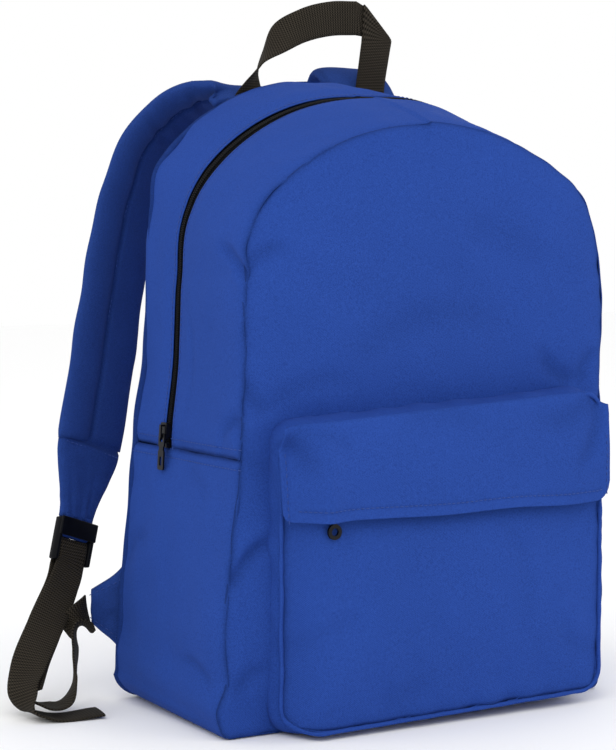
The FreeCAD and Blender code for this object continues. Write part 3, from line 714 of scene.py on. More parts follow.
def ring_distance(places, ring):
    """Distance of places on a panel to its outline."""
    flat = places.reshape(-1, 1, 2)
    along = np.roll(ring, -1, axis=0) - ring
    share = np.sum((flat - ring) * along, axis=2) / np.maximum(np.sum(along**2, axis=1), 1e-9)
    gaps = flat - ring - np.clip(share, 0, 1)[..., None] * along
    return np.linalg.norm(gaps, axis=2).min(axis=1).reshape(places.shape[:2])


def panel_object(name, left, right, y_edge, facing, lift, seed, thickness):
    """Closed crowned panel. lift(x, z, distance) is how far it stands out from the seam's plane."""
    ring = panel_ring(left, right, PANEL_INSET)
    count = len(left) - CORNER_INDEX
    starts = ring[:count]
    ends = np.vstack([ring[count - 1 : count], ring[count:]])[::-1]
    places = starts[:, None] + (ends - starts)[:, None] * SHARES[None, :, None]
    x, z = places[..., 0], places[..., 1]
    raise_by, painted_shade = lift(x, z, ring_distance(places, ring), seed)
    points = np.stack([x, y_edge + facing * raise_by, np.maximum(z, FLOOR_CLEAR)], axis=-1)
    normals = np.broadcast_to(np.array([0.0, facing, 0.0]), points.shape)
    return cloth_object(name, points, normals, thickness, np.stack([x, z], axis=-1), painted_shade)


FRONT_FOLDS = [
    ((-150, 100), (-120, 130), -4.0, 4.5),
    ((-148, 110), (-124, 140), 2.4, 5),
    ((-148, 30), (-126, 46), -2.2, 5),
    ((-146, 182), (-122, 168), -1.2, 6),
    ((-140, 300), (-110, 316), -2.6, 5),
    ((-60, 246), (70, 262), -1.3, 12),
    ((128, 220), (142, 244), -2.4, 5),
    ((122, 222), (90, 244), -2.4, 6),
    ((-126, 210), (-140, 232), -2.6, 5),
    ((-118, 217), (-60, 226), -1.2, 7),
    ((30, 330), (95, 300), -1.0, 14),
    ((150, 104), (128, 126), -2.0, 7),
]


def front_lift(x, z, near, seed):
    """Crown, seam roll, puckers and folds of the front panel."""
    out = 5.5 * ease(near / 75) + 2.2 * (1 - np.exp(-near / 5)) - 0.6 * np.exp(-near / 1.5)
    out = out + 0.7 * np.exp(-near / 12) * ripple(seed, 30, x, z)
    out = out + 1.0 * ripple(seed + 1, 130, x, z) * ease(near / 20) + 0.3 * ripple(seed + 2, 40, x, z)
    folded = sum(crease(x, z, *fold) for fold in FRONT_FOLDS)
    # Painted shade along the seam and in the folds.
    painted_shade = np.clip(np.exp(-near / 1.5) * 0.9 + np.clip(-folded, 0, 3) * 0.12, 0, 1)
    return out + folded, painted_shade


BACK_STITCH_INSET = 13.0


def back_lift(x, z, near, seed):
    """Padded back: a sewn line all round, soft padding inside it."""
    channel = np.exp(-((near - BACK_STITCH_INSET) / 2.2) ** 2)
    out = 2.4 * (1 - np.exp(-near / 5)) + 3.4 * ease((near - BACK_STITCH_INSET) / 26) - 1.6 * channel
    out = out + 0.5 * np.exp(-near / 14) * ripple(seed, 26, x, z) + 0.5 * ripple(seed + 1, 90, x, z)
    # Painted shade along the edge seam and in the sewn channel.
    painted_shade = np.clip(np.exp(-near / 1.5) * 0.9 + channel * 0.35, 0, 1)
    return out, painted_shade


def build_panels():
    """Front panel and padded back panel with their stitch lines."""
    front = panel_object("front_panel_cloth", LEFT_FRONT, RIGHT_FRONT, FRONT_Y, -1, front_lift, 61, FABRIC)
    place_piece(front, "bag_fabric", replaces=["front_panel"])
    back_sides = (LEFT_BACK, RIGHT_BACK)
    back = panel_object("back_panel_pad", *back_sides, BACK_Y, 1, back_lift, 71, BACK_PAD_THICKNESS)
    place_piece(back, "bag_fabric", replaces=["back_panel", "back_foam", "back_lining"])
    ring = panel_ring(*back_sides, PANEL_INSET + BACK_STITCH_INSET)
    stand, _ = back_lift(ring[:, 0], ring[:, 1], np.full(len(ring), BACK_STITCH_INSET), 71)
    line = np.stack([ring[:, 0], BACK_Y + stand + 0.1, ring[:, 1]], axis=1)
    normals = np.tile([0.0, 1.0, 0.0], (len(line), 1))
    stitches("back_panel_stitch", line, normals, "bag_fabric", pitch=4.0)


build_panels()


# ---------------- zippers

TAPE_HALF = 14.0
COIL_PITCH = 1.6
COIL_REACH = 2.6
TAPE_THICKNESS = 0.7
TAPE_DROP = 1.3
COIL_RADIUS = 0.42
COIL_DROP = 0.25


def zipper(prefix, line, out, across, sides):
    """Two tapes and two rows of coil along a line. across points from the first side to the second."""
    for sign, side in zip((-1, 1), sides):
        cols = np.linspace(0.5, TAPE_HALF, 7)
        drop = (TAPE_DROP + 2.4 * (cols / TAPE_HALF) ** 2)[None, :, None]
        points = line[:, None] + across[:, None] * (sign * cols)[None, :, None] - out[:, None] * drop
        normals = np.broadcast_to(out[:, None], points.shape)
        tape = cloth_object(f"{prefix}_tape_{side}", points, normals, TAPE_THICKNESS)
        place_piece(tape, "zip_tape", replaces=[f"{prefix}_tape_{side}"])
        length = arc_lengths(line)[-1]
        count = int(length / COIL_PITCH)
        rows = evenly(np.hstack([line, out, across]), 2 * count)[(sign + 1) // 2 :: 2]
        at, up, side_axis = rows[:, :3], unit(rows[:, 3:6]), unit(rows[:, 6:9]) * sign
        along = unit(np.cross(side_axis, up))
        shape, faces = bent_capsule(COIL_REACH + 0.2, COIL_RADIUS, COIL_DROP)
        middle = at + side_axis * (COIL_REACH / 2 - 0.2) - up * COIL_DROP
        coil = copies_object(f"{prefix}_teeth_{side}", shape, faces, middle, side_axis, along, up)
        place_piece(coil, "zip_coil", replaces=[f"{prefix}_coil_{side}"])


def build_main_zipper():
    """Main zipper over the bag's top, in the gap between the two gussets."""
    straight = on_body(OVER_FRONT, OVER_BACK, np.full(len(OVER_FRONT), ZIP_Y))
    line = on_body(OVER_FRONT, OVER_BACK, ZIP_Y + zip_drift(straight[:, 2]))
    step = unit(np.gradient(line, axis=0))
    ruling = OVER_BACK - OVER_FRONT
    ruling = unit(np.stack([ruling[:, 0], np.full(len(ruling), DEPTH), ruling[:, 1]], axis=1))
    across = unit(ruling - step * np.sum(ruling * step, axis=1, keepdims=True))
    out = np.cross(across, step)
    if np.sum(out * (line - np.array([0, 0, 200]))) < 0:
        out = -out
    line = line + out * zip_rise(line[:, 0], line[:, 2])[:, None]
    zipper("main_zip", line, out, across, ("front", "rear"))


build_main_zipper()


# ---------------- front pocket

POCKET_LOW, POCKET_HIGH = cad_box("pocket_gusset")
POCKET_HALF = POCKET_HIGH[0]
POCKET_Z = (POCKET_LOW[2], POCKET_HIGH[2])
POCKET_Y = cad_box("pocket_front_lower")[0][1]
POCKET_CORNER = 14.0
POCKET_TAPER = 3.0
COIL_LOW = cad_box("pocket_zip_coil_lower")
COIL_HIGH = cad_box("pocket_zip_coil_upper")
POCKET_ZIP_Z = (COIL_LOW[1][2] + COIL_HIGH[0][2]) / 2
POCKET_BAND = 5.0
PIPING_RADIUS = 1.5
PIPING_INSET = 2.2
PIPING_SIDES = 10
POCKET_EDGE = POCKET_HALF - POCKET_TAPER
POCKET_FACE_Z = (POCKET_Z[0] + POCKET_TAPER, POCKET_Z[1] - POCKET_TAPER)
POCKET_FOLDS = [
    ((-POCKET_EDGE, 62), (-POCKET_EDGE + 46, 78), -1.2, 6),
    ((40, 128), (52, 60), -0.9, 7),
    ((POCKET_EDGE, 40), (POCKET_EDGE - 40, 62), -1.2, 7),
    ((-60, 20), (-20, 34), -1.0, 7),
]


def rounded_ring(half, low, high, corner, step=3.0):
    """Closed rounded rectangle as rows of x and z, starting at the middle of its bottom."""
    arc = np.linspace(0, math.pi / 2, 9)
    parts = []
    turns = (
        (half - corner, low + corner, -math.pi / 2),
        (half - corner, high - corner, 0.0),
        (corner - half, high - corner, math.pi / 2),
        (corner - half, low + corner, math.pi),
    )
    for x, z, begin in turns:
        parts.append(np.stack([x + corner * np.cos(begin + arc), z + corner * np.sin(begin + arc)], axis=1))
    closed = np.vstack(parts + [parts[0][:1]])
    count = int(arc_lengths(closed)[-1] / step)
    return evenly(closed, count + 1)[:-1]


def settled(points, share=1.0):
    """Pocket points as the filled pocket hangs: its left edge drawn in, its right side higher.

    share runs from 0 at the bag's front to 1 at the pocket's face.
    """
    x, y, z = points[..., 0], points[..., 1], points[..., 2]
    drawn = 20 * ease((-103 - x) / 18) * (1 - 0.5 * ease((z - 190) / 15))
    top = ease((z - 168) / 42) * (0.058 * x - 1)
    bottom = ease((118 - z) / 100) * (0.02 * x - 7.2)
    return np.stack([x, y + drawn * share, z + top + bottom], axis=-1)


def pocket_out(x, z, edge):
    """How far the pocket's face stands out of its plane at distance edge from its piping."""
    from_zip = np.abs(z - POCKET_ZIP_Z) - POCKET_BAND
    quiet = 1 - np.exp(-np.maximum(from_zip, 0) / 20)
    middle = ease(edge / 70)
    out = 2.2 * (1 - np.exp(-edge / 5)) * (0.35 + 0.65 * quiet) + 5.8 * middle * quiet
    out = out + quiet * (0.9 * ripple(81, 110, x, z) * ease(edge / 25) + 0.3 * ripple(82, 34, x, z))
    out = out + 0.6 * np.exp(-edge / 11) * ripple(83, 24, x, z)
    return out


def pocket_face(name, z_start, z_end, node_name):
    """One of the two cloth faces of the pocket, between its piping and its zipper."""
    low, high = POCKET_FACE_Z
    rows = np.linspace(z_start, z_end, max(8, int(abs(z_end - z_start) / 3.2)))
    ends = np.array([0.95, 0.97, 0.985, 0.994, 1])
    u = np.concatenate([-ends[::-1], np.linspace(-0.92, 0.92, 70), ends])
    corner = POCKET_CORNER
    gap = np.maximum(0, np.maximum(low + corner - rows, rows - (high - corner)))
    limit = POCKET_EDGE - corner + np.sqrt(np.maximum(corner**2 - gap**2, 0.5))
    x = u[None] * limit[:, None]
    z = np.broadcast_to(rows[:, None], x.shape)
    edge = np.minimum(limit[:, None] - np.abs(x), np.minimum(z - low, high - z))
    edge = np.maximum(edge, 0)
    out = pocket_out(x, z, edge)
    folded = sum(crease(x, z, *fold) for fold in POCKET_FOLDS)
    points = settled(np.stack([x, POCKET_Y - out - folded, z], axis=-1))
    normals = grid_normals(points, (0, 0, z.mean()))
    # Painted shade along the piping seam and in the folds.
    painted_shade = np.clip(np.exp(-edge / 1.8) * 0.8 + np.clip(-folded, 0, 3) * 0.1, 0, 1)
    obj = cloth_object(name, points, normals, FABRIC, np.stack([x, z], axis=-1), painted_shade)
    place_piece(obj, "bag_fabric", replaces=[node_name])
    return points, normals


def build_pocket_gusset():
    """Strip of cloth round the pocket, from the bag's front to the pocket's face."""
    rear = rounded_ring(POCKET_HALF, *POCKET_Z, POCKET_CORNER)
    front = rounded_ring(POCKET_EDGE, *POCKET_FACE_Z, POCKET_CORNER)
    front = evenly(np.vstack([front, front[:1]]), len(rear) + 1)[:-1]
    sections = np.array([0.0, 1.0, 3.0, 6.0, 10.0, 15.0, 20.0, 25.0, 29.0, 31.5, 33.0])
    share = sections / sections[-1]
    y = (FRONT_Y + 1.5) + (POCKET_Y - FRONT_Y - 1.5) * share
    flat = rear[:, None] * (1 - share[None, :, None]) + front[:, None] * share[None, :, None]
    points = np.stack([flat[..., 0], np.broadcast_to(y[None], flat.shape[:2]), flat[..., 1]], axis=-1)
    normals = grid_normals(points, (0, -92, 110), wrap_rows=True)
    around = arc_lengths(np.vstack([rear, rear[:1]]))[:-1][:, None] + np.zeros((1, len(sections)))
    from_ends = np.minimum(sections, sections[-1] - sections)[None]
    lift = 2.4 * (1 - np.exp(-from_ends / 7)) + 0.8 * ripple(91, 30, around, y[None] * 0.8)
    lift = lift + 0.5 * ripple(92, 14, around) * np.exp(-from_ends / 6)
    points = settled(points + normals * lift[..., None], share[None])
    # Painted shade where the gusset meets the bag's front, and along both of its seams.
    painted_shade = np.exp(-sections[None] / 3.5 + 0 * lift) + np.exp(-from_ends / 1.5) * 0.3
    normals = grid_normals(points, (0, -92, 110), wrap_rows=True)
    obj = cloth_object("pocket_gusset_cloth", points, normals, shade=np.clip(painted_shade, 0, 1), wrap_rows=True)
    place_piece(obj, "bag_fabric", replaces=["pocket_gusset"])


def build_pocket_faces():
    """The pocket's two cloth faces with the stitch lines beside its zipper."""
    low, high = POCKET_FACE_Z
    below, above = POCKET_ZIP_Z - POCKET_BAND, POCKET_ZIP_Z + POCKET_BAND
    lower, lower_normals = pocket_face("pocket_lower_cloth", low, below, "pocket_front_lower")
    upper, upper_normals = pocket_face("pocket_upper_cloth", above, high, "pocket_front_upper")
    stitches("pocket_zip_stitch_low", lower[-2], lower_normals[-2], "bag_fabric")
    stitches("pocket_zip_stitch_high", upper[1], upper_normals[1], "bag_fabric")


def build_pocket_piping():
    """Round piping along the seam of the pocket's face."""
    low, high = POCKET_Z[0] + PIPING_INSET, POCKET_Z[1] - PIPING_INSET
    ring = rounded_ring(POCKET_HALF - PIPING_INSET, low, high, POCKET_CORNER + 1, 2.4)
    along = arc_lengths(np.vstack([ring, ring[:1]]))[:-1]
    wave = 0.35 * ripple(95, 40, along)
    line = np.stack([ring[:, 0], POCKET_Y - 0.6 + wave, ring[:, 1]], axis=1)
    rearward = np.array([0.0, 1.0, 0.0])
    out = unit(np.cross(ring_steps(line), rearward))
    angles = np.arange(PIPING_SIDES) * 2 * math.pi / PIPING_SIDES
    girth = PIPING_RADIUS * (1 + 0.08 * ripple(96, 16, along))
    points = line[:, None] + girth[:, None, None] * (
        out[:, None] * np.cos(angles)[None, :, None] + rearward * np.sin(angles)[None, :, None]
    )
    points = settled(points)
    piping = grid_object("pocket_piping_cord", points, wrap_rows=True, wrap_cols=True)
    place_piece(piping, "bag_fabric", replaces=["pocket_piping"])


def build_pocket_zipper():
    """Straight zipper between the pocket's two faces, under the flap."""
    count = 60
    xs = np.linspace(COIL_LOW[0][0] - 1, COIL_LOW[1][0] + 1, count)
    line = settled(np.stack([xs, np.full(count, POCKET_Y), np.full(count, POCKET_ZIP_Z)], axis=1))
    out = np.tile([0.0, -1.0, 0.0], (count, 1))
    across = np.tile([0.0, 0.0, 1.0], (count, 1))
    zipper("pocket_zip", line, out, across, ("lower", "upper"))


build_pocket_gusset()
build_pocket_faces()
build_pocket_piping()
build_pocket_zipper()


# ---------------- rain flap

FLAP_LOW, FLAP_HIGH = cad_box("pocket_flap")
FLAP_CORNERS = (5.0, 13.0)
FLAP_THICKNESS = 1.6
FLAP_HEM = 7.5
FLAP_STITCH = 6.5
FLAP_FOLDS = [
    ((118, 210), (96, 166), -2.2, 6),
    ((126, 200), (108, 160), 1.2, 6),
    ((122, 214), (60, 196), -1.8, 7),
    ((-124, 204), (-112, 170), -2.0, 5),
    ((-122, 206), (-84, 188), -1.2, 6),
    ((-40, 208), (20, 196), -0.9, 9),
]


def build_flap():
    """Rain flap over the pocket's zipper, free along its bottom and its two ends."""
    half = FLAP_HIGH[0] - 0.5
    low, high = FLAP_LOW[2] + 0.6, FLAP_HIGH[2] + 0.8
    u = np.concatenate([[-1, -0.99, -0.975], np.linspace(-0.955, 0.955, 76), [0.975, 0.99, 1]])
    v = np.concatenate([np.linspace(0, 0.9, 22), [0.93, 0.955, 0.975, 0.99, 1.0]])
    x = u * half
    corner = np.where(x > 0, FLAP_CORNERS[1], FLAP_CORNERS[0])
    past = np.maximum(np.abs(x) - (half - corner), 0)
    bottom = low + corner - np.sqrt(np.maximum(corner**2 - past**2, 0.0)) + 0.5 * ripple(101, 120, x)
    shoulder = 10.0 * ease((x - 106) / 20) + 2.0 * ease((-112 - x) / 15)
    z = high - shoulder + (bottom - high + shoulder)[None] * v[:, None]
    x = np.broadcast_to(x[None], z.shape)
    down = np.broadcast_to(v[:, None], z.shape)
    side = np.abs(x) / half
    stand = 8.6 * down * (1 - 0.55 * side**6)
    stand = stand + 2.6 * np.sin(np.pi * np.minimum(down * 1.1, 1)) * (1 - side**8)
    stand = stand + 6.5 * down * np.exp(-(((x + 110) / 15) ** 2))
    hem = np.minimum((1 - down) * (high - low), half - np.abs(x))
    wave = 0.6 * ripple(102, 90, x, z) * down + 0.4 * np.exp(-hem / 9) * ripple(103, 34, x, z)
    folds = sum(crease(x, z, *fold) for fold in FLAP_FOLDS)
    ridge = 0.5 * ease((FLAP_HEM - hem) / 1.5)
    y = FLAP_HIGH[1] - 0.8 - stand - wave * 0.6 - folds - ridge
    points = settled(np.stack([x, y, z], axis=-1))
    normals = grid_normals(points, (0, 0, 176))
    # Painted shade in the folds and along the hem's stitch line.
    painted_shade = np.clip(np.clip(-folds, 0, 3) * 0.14 + 0.25 * np.exp(-((hem - FLAP_HEM) / 0.8) ** 2), 0, 1)
    uv = np.stack([x, z], axis=-1)
    obj = cloth_object("pocket_flap_cloth", points, normals, FLAP_THICKNESS, uv, painted_shade)
    place_piece(obj, "bag_fabric", "root", ["pocket_flap"])
    obj.parent = None
    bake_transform(obj)
    hem_row = np.argmin(np.abs((1 - v) * (high - low) - FLAP_STITCH))
    rows = v > 0.3
    seams = (("", (hem_row, slice(4, -4))), ("_left", (rows, 2)), ("_right", (rows, -3)))
    for label, part in seams:
        stitches(f"pocket_flap_stitch{label}", points[part], normals[part], "bag_fabric", "pocket_flap")


build_flap()


# ---------------- haul loop

FOOT_BOX = np.array(
    [[-10, 4], [10, 4], [10, 22], [-10, 22], [-10, 4], [10, 22], [10, 4], [-10, 22]], float
)


def strip_object(name, rows, thickness):
    """Flat webbing whose sections may slant, from rows of centre, half-width vector and face normal."""
    centre, half, normal = rows[:, :3], rows[:, 3:6], unit(rows[:, 6:9])
    section = rounded_section(2.0, 0.4) / np.array([1.0, 0.2])
    points = centre[:, None] + half[:, None] * section[:, :1]
    points = points + normal[:, None] * section[:, 1:] * thickness / 2
    return grid_object(name, points, wrap_cols=True, caps=True)


def station(centre, half, normal=(0, 1, 0)):
    """One row of a strip: centre, half-width vector and unit face normal."""
    return np.concatenate([centre, half, unit(normal)])


def straight_rows(first, last, normal):
    """Strip rows between two stations, without them, all with one face normal."""
    share = np.linspace(0, 1, 8)[1:-1, None]
    between = first[:6] + (last[:6] - first[:6]) * share
    return np.hstack([between, np.tile(np.array(normal, float), (len(share), 1))])


HAUL_HALF = 12.5
HAUL_THICKNESS = 1.5
HAUL_STAND = 3.4
FOLD_RADIUS = 0.95


def haul_rows(left_x, right_x, y, foot_low, foot_high):
    """Rows of the loop's webbing: a twisted left leg, a diagonal fold at the top right and a right leg."""
    left = smooth_rows([
        station((left_x, y - 1.2, foot_low), (12.5, 0, 0)),
        station((left_x, y, foot_high - 8), (12.3, 0.5, 0)),
        station((left_x + 2.5, y + 0.2, foot_high + 2), (10.2, 7.0, 0.6)),
        station((left_x + 7.0, y + 0.2, 442), (6.4, 10.6, 1.2)),
        station((left_x + 12.5, y, 452), (5.0, 10.0, 5.2)),
        station((-25.5, y, 464.0), (-0.7, 8.0, 9.6)),
        station((-5.0, y - 0.6, 475.0), (-1.0, 3.4, 11.9)),
        station((19.0, y - 1.0, 481.2), (-0.5, 0.6, 12.5)),
        station((40.0, y - 1.2, 482.6), (0.3, 0, 12.4)),
    ], 2.0)
    left[:, 6:] = -np.cross(left[:, 3:6], np.gradient(left[:, :3], axis=0))
    # The fold: webbing reaches a diagonal line, turns over it and comes back down in front of itself.
    fold_centre = np.array([58.0, y - 1.2, 479.8])
    fold_half = np.array([-11.8, 0.0, 12.4])
    before = straight_rows(left[-1], np.concatenate([fold_centre, fold_half]), (0, -1, 0))
    out = unit(np.array([fold_half[2], 0.0, -fold_half[0]]))
    turn = []
    for angle in np.linspace(0, math.pi, 9):
        centre = fold_centre + out * FOLD_RADIUS * math.sin(angle)
        centre[1] -= FOLD_RADIUS * (1 - math.cos(angle))
        turn.append(station(centre, fold_half, np.array([0, -math.cos(angle), 0]) + out * math.sin(angle)))
    front_y = y - 1.2 - 2 * FOLD_RADIUS
    right = smooth_rows([
        station((right_x + 4.5, front_y, 466), (-13.2, 0, -1.0)),
        station((right_x + 2.0, front_y + 0.4, 450), (-12.6, 0.5, -1.5)),
        station((right_x + 0.5, y - 0.6, foot_high + 2), (-12.5, 0, -0.5)),
        station((right_x, y - 0.2, foot_high - 8), (-12.5, 0, 0)),
        station((right_x, y - 1.2, foot_low), (-12.5, 0, 0)),
    ], 2.0)
    after = straight_rows(turn[-1], right[0], (0, 1, 0))
    return np.vstack([left, before, turn, after, right])


def build_haul_loop():
    """Carrying loop of webbing with its two sewn feet."""
    low, high = cad_box("haul_loop_feet")
    y = BACK_Y + HAUL_STAND
    left_x, right_x = low[0] + HAUL_HALF, high[0] - HAUL_HALF
    foot_low, foot_high = low[2], high[2]
    rows = haul_rows(left_x, right_x, y, foot_low, foot_high)
    obj = strip_object("haul_loop_webbing", rows, HAUL_THICKNESS)
    place_piece(obj, "webbing", "haul_loop", ["haul_loop", "haul_loop_feet"])
    obj.parent = None
    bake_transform(obj)
    for side, x in (("left", left_x), ("right", right_x)):
        line = np.stack([x + FOOT_BOX[:, 0], np.full(8, y + 0.75), foot_low + FOOT_BOX[:, 1]], axis=1)
        line[:, 1] += np.interp(line[:, 2], [foot_low, foot_high - 8], [-1.2, 0.0])
        share = np.linspace(0, 1, 12)[:-1, None]
        dense = np.vstack([a + (b - a) * share for a, b in zip(line, line[1:])])
        up = np.tile([0.0, 1.0, 0.0], (len(dense), 1))
        name = f"haul_foot_stitch_{side}"
        stitches(name, dense, up, "webbing", pitch=2.6, length=2.0, material=THREAD_BLACK)


build_haul_loop()


# ---------------- shoulder straps

STRAP_HALF = 29.0
LEFT_STRAP = [
    (-50, 79, 417, -1, 0, 0),
    (-52, 91, 425, -1, 0, 0),
    (-64, 105, 424, -0.92, -0.35, 0.12),
    (-80, 117, 416, -0.86, -0.42, 0.2),
    (-93, 125, 403, -0.82, -0.46, 0.28),
    (-106, 130, 387, -0.86, -0.44, 0.2),
    (-117, 134, 353, -0.93, -0.35, 0.05),
    (-134, 131, 277, -0.95, -0.3, -0.1),
    (-146, 126, 220, -0.95, -0.3, -0.1),
    (-157, 121, 174, -0.95, -0.3, -0.1),
]
RIGHT_STRAP = [
    (50, 79, 420, 1, 0, 0),
    (48, 91, 436, 1, 0, 0),
    (49, 104, 443, 1, 0, 0),
    (53, 120, 435, 1, 0, 0),
    (61, 133, 406, 0.98, -0.1, 0.05),
    (71, 138, 352, 0.96, -0.2, 0.1),
    (88, 133, 277, 0.95, -0.25, 0.15),
    (103, 128, 220, 0.95, -0.25, 0.15),
    (115, 123, 178, 0.95, -0.25, 0.15),
]
STRAP_ENDS = {"left": np.array([-172.5, 112.0, 122.0]), "right": np.array([130.0, 115.0, 122.0])}
LEFT_DOWN = [
    (-190, 97, 80, -0.87, -0.2, 0.3),
    (-213, 77, 54, -0.82, 0.35, 0.28),
    (-233, 58, 31, -0.6, 0.75, 0.15),
    (-240, 48, 18, -0.3, 0.95, 0),
]
LEFT_TAIL = [
    (-239, 43, 8, -0.1, 1, 0),
    (-228, 39, 2.6, 0.1, 1, 0),
    (-192, 33, 2.4, 0.15, 1, 0),
]
LEFT_RETURN = [
    (-236, 46, 12, -0.1, 1, 0),
    (-228, 45, 8.2, 0, 1, 0),
    (-214, 46, 8.5, 0.15, 0.98, 0),
    (-203, 52, 19, 0.35, 0.9, -0.2),
    (-197, 62, 35, 0.5, 0.85, -0.2),
    (-190, 74, 51, 0.5, 0.75, 0.4),
    (-175.5, 87, 63, 0.2, 0.1, 0.97),
]
RIGHT_DOWN = [
    (150, 110, 82, 0.92, -0.1, 0.3),
    (170, 113, 56, 0.85, 0.3, 0.28),
    (196, 114, 32, 0.65, 0.7, 0.15),
    (208, 106, 18, 0.3, 0.95, 0),
]
RIGHT_TAIL = [
    (213, 106, 8, 0.1, 1, 0),
    (222, 106, 2.6, -0.1, 1, 0),
    (243, 107, 2.4, -0.1, 1, 0),
]
RIGHT_RETURN = [
    (204, 100, 11.5, 0, 1, 0),
    (199, 99, 8.4, 0, 1, 0),
    (191, 96, 12, 0, 1, 0),
    (189, 90, 28, 0, 1, 0),
    (188, 85, 46, 0.1, 1, 0.1),
    (185, 85, 59, 0.5, 0.75, 0.25),
    (178.5, 87, 63, 0.1, 0.1, 0.97),
]
PLY_SPLIT = 2.2
LOCK_BAR = 3.0
LOCK_PITCH = 10.5
LOCK_DROP = 4.0
TAB_SLACK = 3.4
WEB_WIDTH = 25.0
WEB_THICK = 1.6
PAD_SEAM = 0.07
PAD_STITCHES = (
    ("outer", 0.8, -1, -0.05, 14),
    ("inner", -0.8, -1, -0.05, 14),
    ("middle", PAD_SEAM, 1, 0.2, 10),
)


def pad_profile(q, wearer):
    """Half thickness of the strap pad at q, from -1 at its inner edge to 1 at its outer edge."""
    rim = np.sqrt(np.clip(1 - np.abs(q) ** 5, 0, 1))
    if not wearer:
        return 5.4 * rim
    roll = 5.8 * np.sqrt(np.clip(1 - ((q - 0.54) / 0.47) ** 2, 0, 1))
    flat = 3.6 * rim * ease((0.08 - q) / 0.06)
    return np.maximum(np.maximum(roll * (q > 0.06), flat), 1.6 * rim)


def pad_sections(at, facing):
    """Sections of the pad and their painted shade at the distances at along it."""
    q = np.sin(np.linspace(-math.pi / 2, math.pi / 2, 33))
    half = STRAP_HALF * (1 + 0.012 * ripple(111, 60, at) + 0.05 * ease((at - 150) / 110))
    ends = np.minimum(1, np.sqrt(np.clip((at[-1] - at) / 5, 0.12, 1)))
    bend = ease((at - 8) / 20) * ease((112 - at) / 30)
    wrinkle = 0.7 * bend * ripple(112, 15, at)
    sections = np.zeros((len(at), 64, 2))
    wearer, cover = pad_profile(q, True), pad_profile(q, False)
    for i, place in enumerate(at):
        soft = 0.35 * ripple(113, 45, place + q * 10, q * 29)
        top = (cover + soft * 0.6) * ends[i]
        bottom = (wearer + soft + wrinkle[i] * np.cos(q * 1.2)) * ends[i]
        bottom = np.maximum(bottom, 0.8)
        sections[i] = pad_section(q * half[i], -facing * top, facing * bottom)
    painted_shade = np.zeros((len(at), 64))
    # Painted shade in the groove of the middle seam on the wearer's side, and by the edge stitching on the
    # cover.
    groove = np.exp(-((q - PAD_SEAM) / 0.05) ** 2)
    painted_shade[:, 33:] = (0.55 * groove[::-1][1:-1])[None]
    painted_shade[:, :33] += (0.3 * np.exp(-((np.abs(q) - 0.9) / 0.05) ** 2))[None]
    return sections, painted_shade


def build_pad(side, stations, facing):
    """Padded strap with a rolled outer half, a flat inner half and a sewn line between them."""
    centre, across, normal = ribbon_frames(smooth_rows(stations, 3.0))
    sections, painted_shade = pad_sections(arc_lengths(centre), facing)
    obj = loft_object(f"strap_pad_{side}", centre, across, normal, sections, painted_shade)
    body = f"strap_{side}"
    nodes = [f"strap_{layer}_{side}" for layer in ("cover", "lining", "foam")]
    place_piece(obj, "strap_fabric", body, nodes)
    for label, place, layer, rise, start in PAD_STITCHES:
        high = pad_profile(np.array([place]), layer > 0)[0] + rise
        out = normal * facing * layer
        line = centre + across * (place * STRAP_HALF) + out * high
        stitches(f"strap_stitch_{label}_{side}", line[start:-3], out[start:-3], "strap_fabric", body)


def build_strap_end(side, stations, end):
    """Tapered, gathered end of the strap that carries the ladder-lock's tab."""
    last = np.array(stations[-1][:3], float)
    edge = np.array(stations[-1][3:], float)
    up = unit(last - end)
    across = unit(edge - up * np.dot(edge, up))
    normal = np.cross(across, up)
    normal = normal if normal[1] > 0 else -normal
    reach = np.linalg.norm(last - end)
    at = np.linspace(-6.0, reach, 28)
    share = np.clip(at / reach, 0, 1)
    half = STRAP_HALF + 0.2 - 1.6 * (at < 0) - (STRAP_HALF - 15.5) * ease(share)
    thick = 5.2 - 1.6 * share
    q = np.sin(np.linspace(-math.pi / 2, math.pi / 2, 29))
    centre = last - up * at[:, None]
    sections = np.zeros((len(at), 56, 2))
    for i in range(len(at)):
        rim = np.sqrt(np.clip(1 - np.abs(q) ** 4, 0, 1))
        gather = 0.8 * share[i] * ripple(121, 0.5, q + 0.3 * share[i])
        gather = gather + 0.5 * ripple(122, 16, at[i] + 0 * q, q * 12)
        lap = 0.45 + 0.55 * float(ease((at[i] + 0.5) / 4))
        top = np.maximum((thick[i] + gather) * rim * lap, 0.6)
        bottom = np.maximum((thick[i] - gather * 0.8) * rim * lap, 0.6)
        sections[i] = pad_section(q * half[i], top, -bottom)
    across_rows = np.tile(across, (len(at), 1))
    normal_rows = np.tile(normal, (len(at), 1))
    # Painted shade at the join with the pad.
    painted_shade = np.zeros((len(at), 56)) + 0.5 * np.exp(-(at / 2.0) ** 2)[:, None]
    obj = loft_object(f"strap_end_pad_{side}", centre, across_rows, normal_rows, sections, painted_shade)
    place_piece(obj, "strap_fabric", f"strap_{side}", [f"strap_end_{side}"])
    for sign, label in ((1, "wearer"), (-1, "cover")):
        line = last - up * 3.5 - normal * sign * 4.6 + across * 24 * np.linspace(-1, 1, 12)[:, None]
        out = np.tile(-normal * sign, (12, 1))
        stitches(f"strap_end_stitch_{label}_{side}", line, out, "strap_fabric", f"strap_{side}")
    return across, up, normal


def bar_wrap(across, up, normal, centre, reach):
    """Ribbon rows up one side of a bar, round it and down the other side."""
    radius = LOCK_BAR / math.sqrt(2) + 0.3 + WEB_THICK / 2
    places = [centre + normal * radius - up * reach]
    for angle in np.linspace(0, math.pi, 7):
        places.append(centre + (normal * math.cos(angle) + up * math.sin(angle)) * radius)
    places.append(centre - normal * radius - up * reach)
    return [tuple(place) + tuple(across) for place in places]


def ply(stations, distance):
    """The same ribbon rows, moved along their face normals."""
    rows = np.array(stations, float)
    centre, across, normal = ribbon_frames(rows)
    return [tuple(c + n * distance) + tuple(a) for c, a, n in zip(centre, across, normal)]


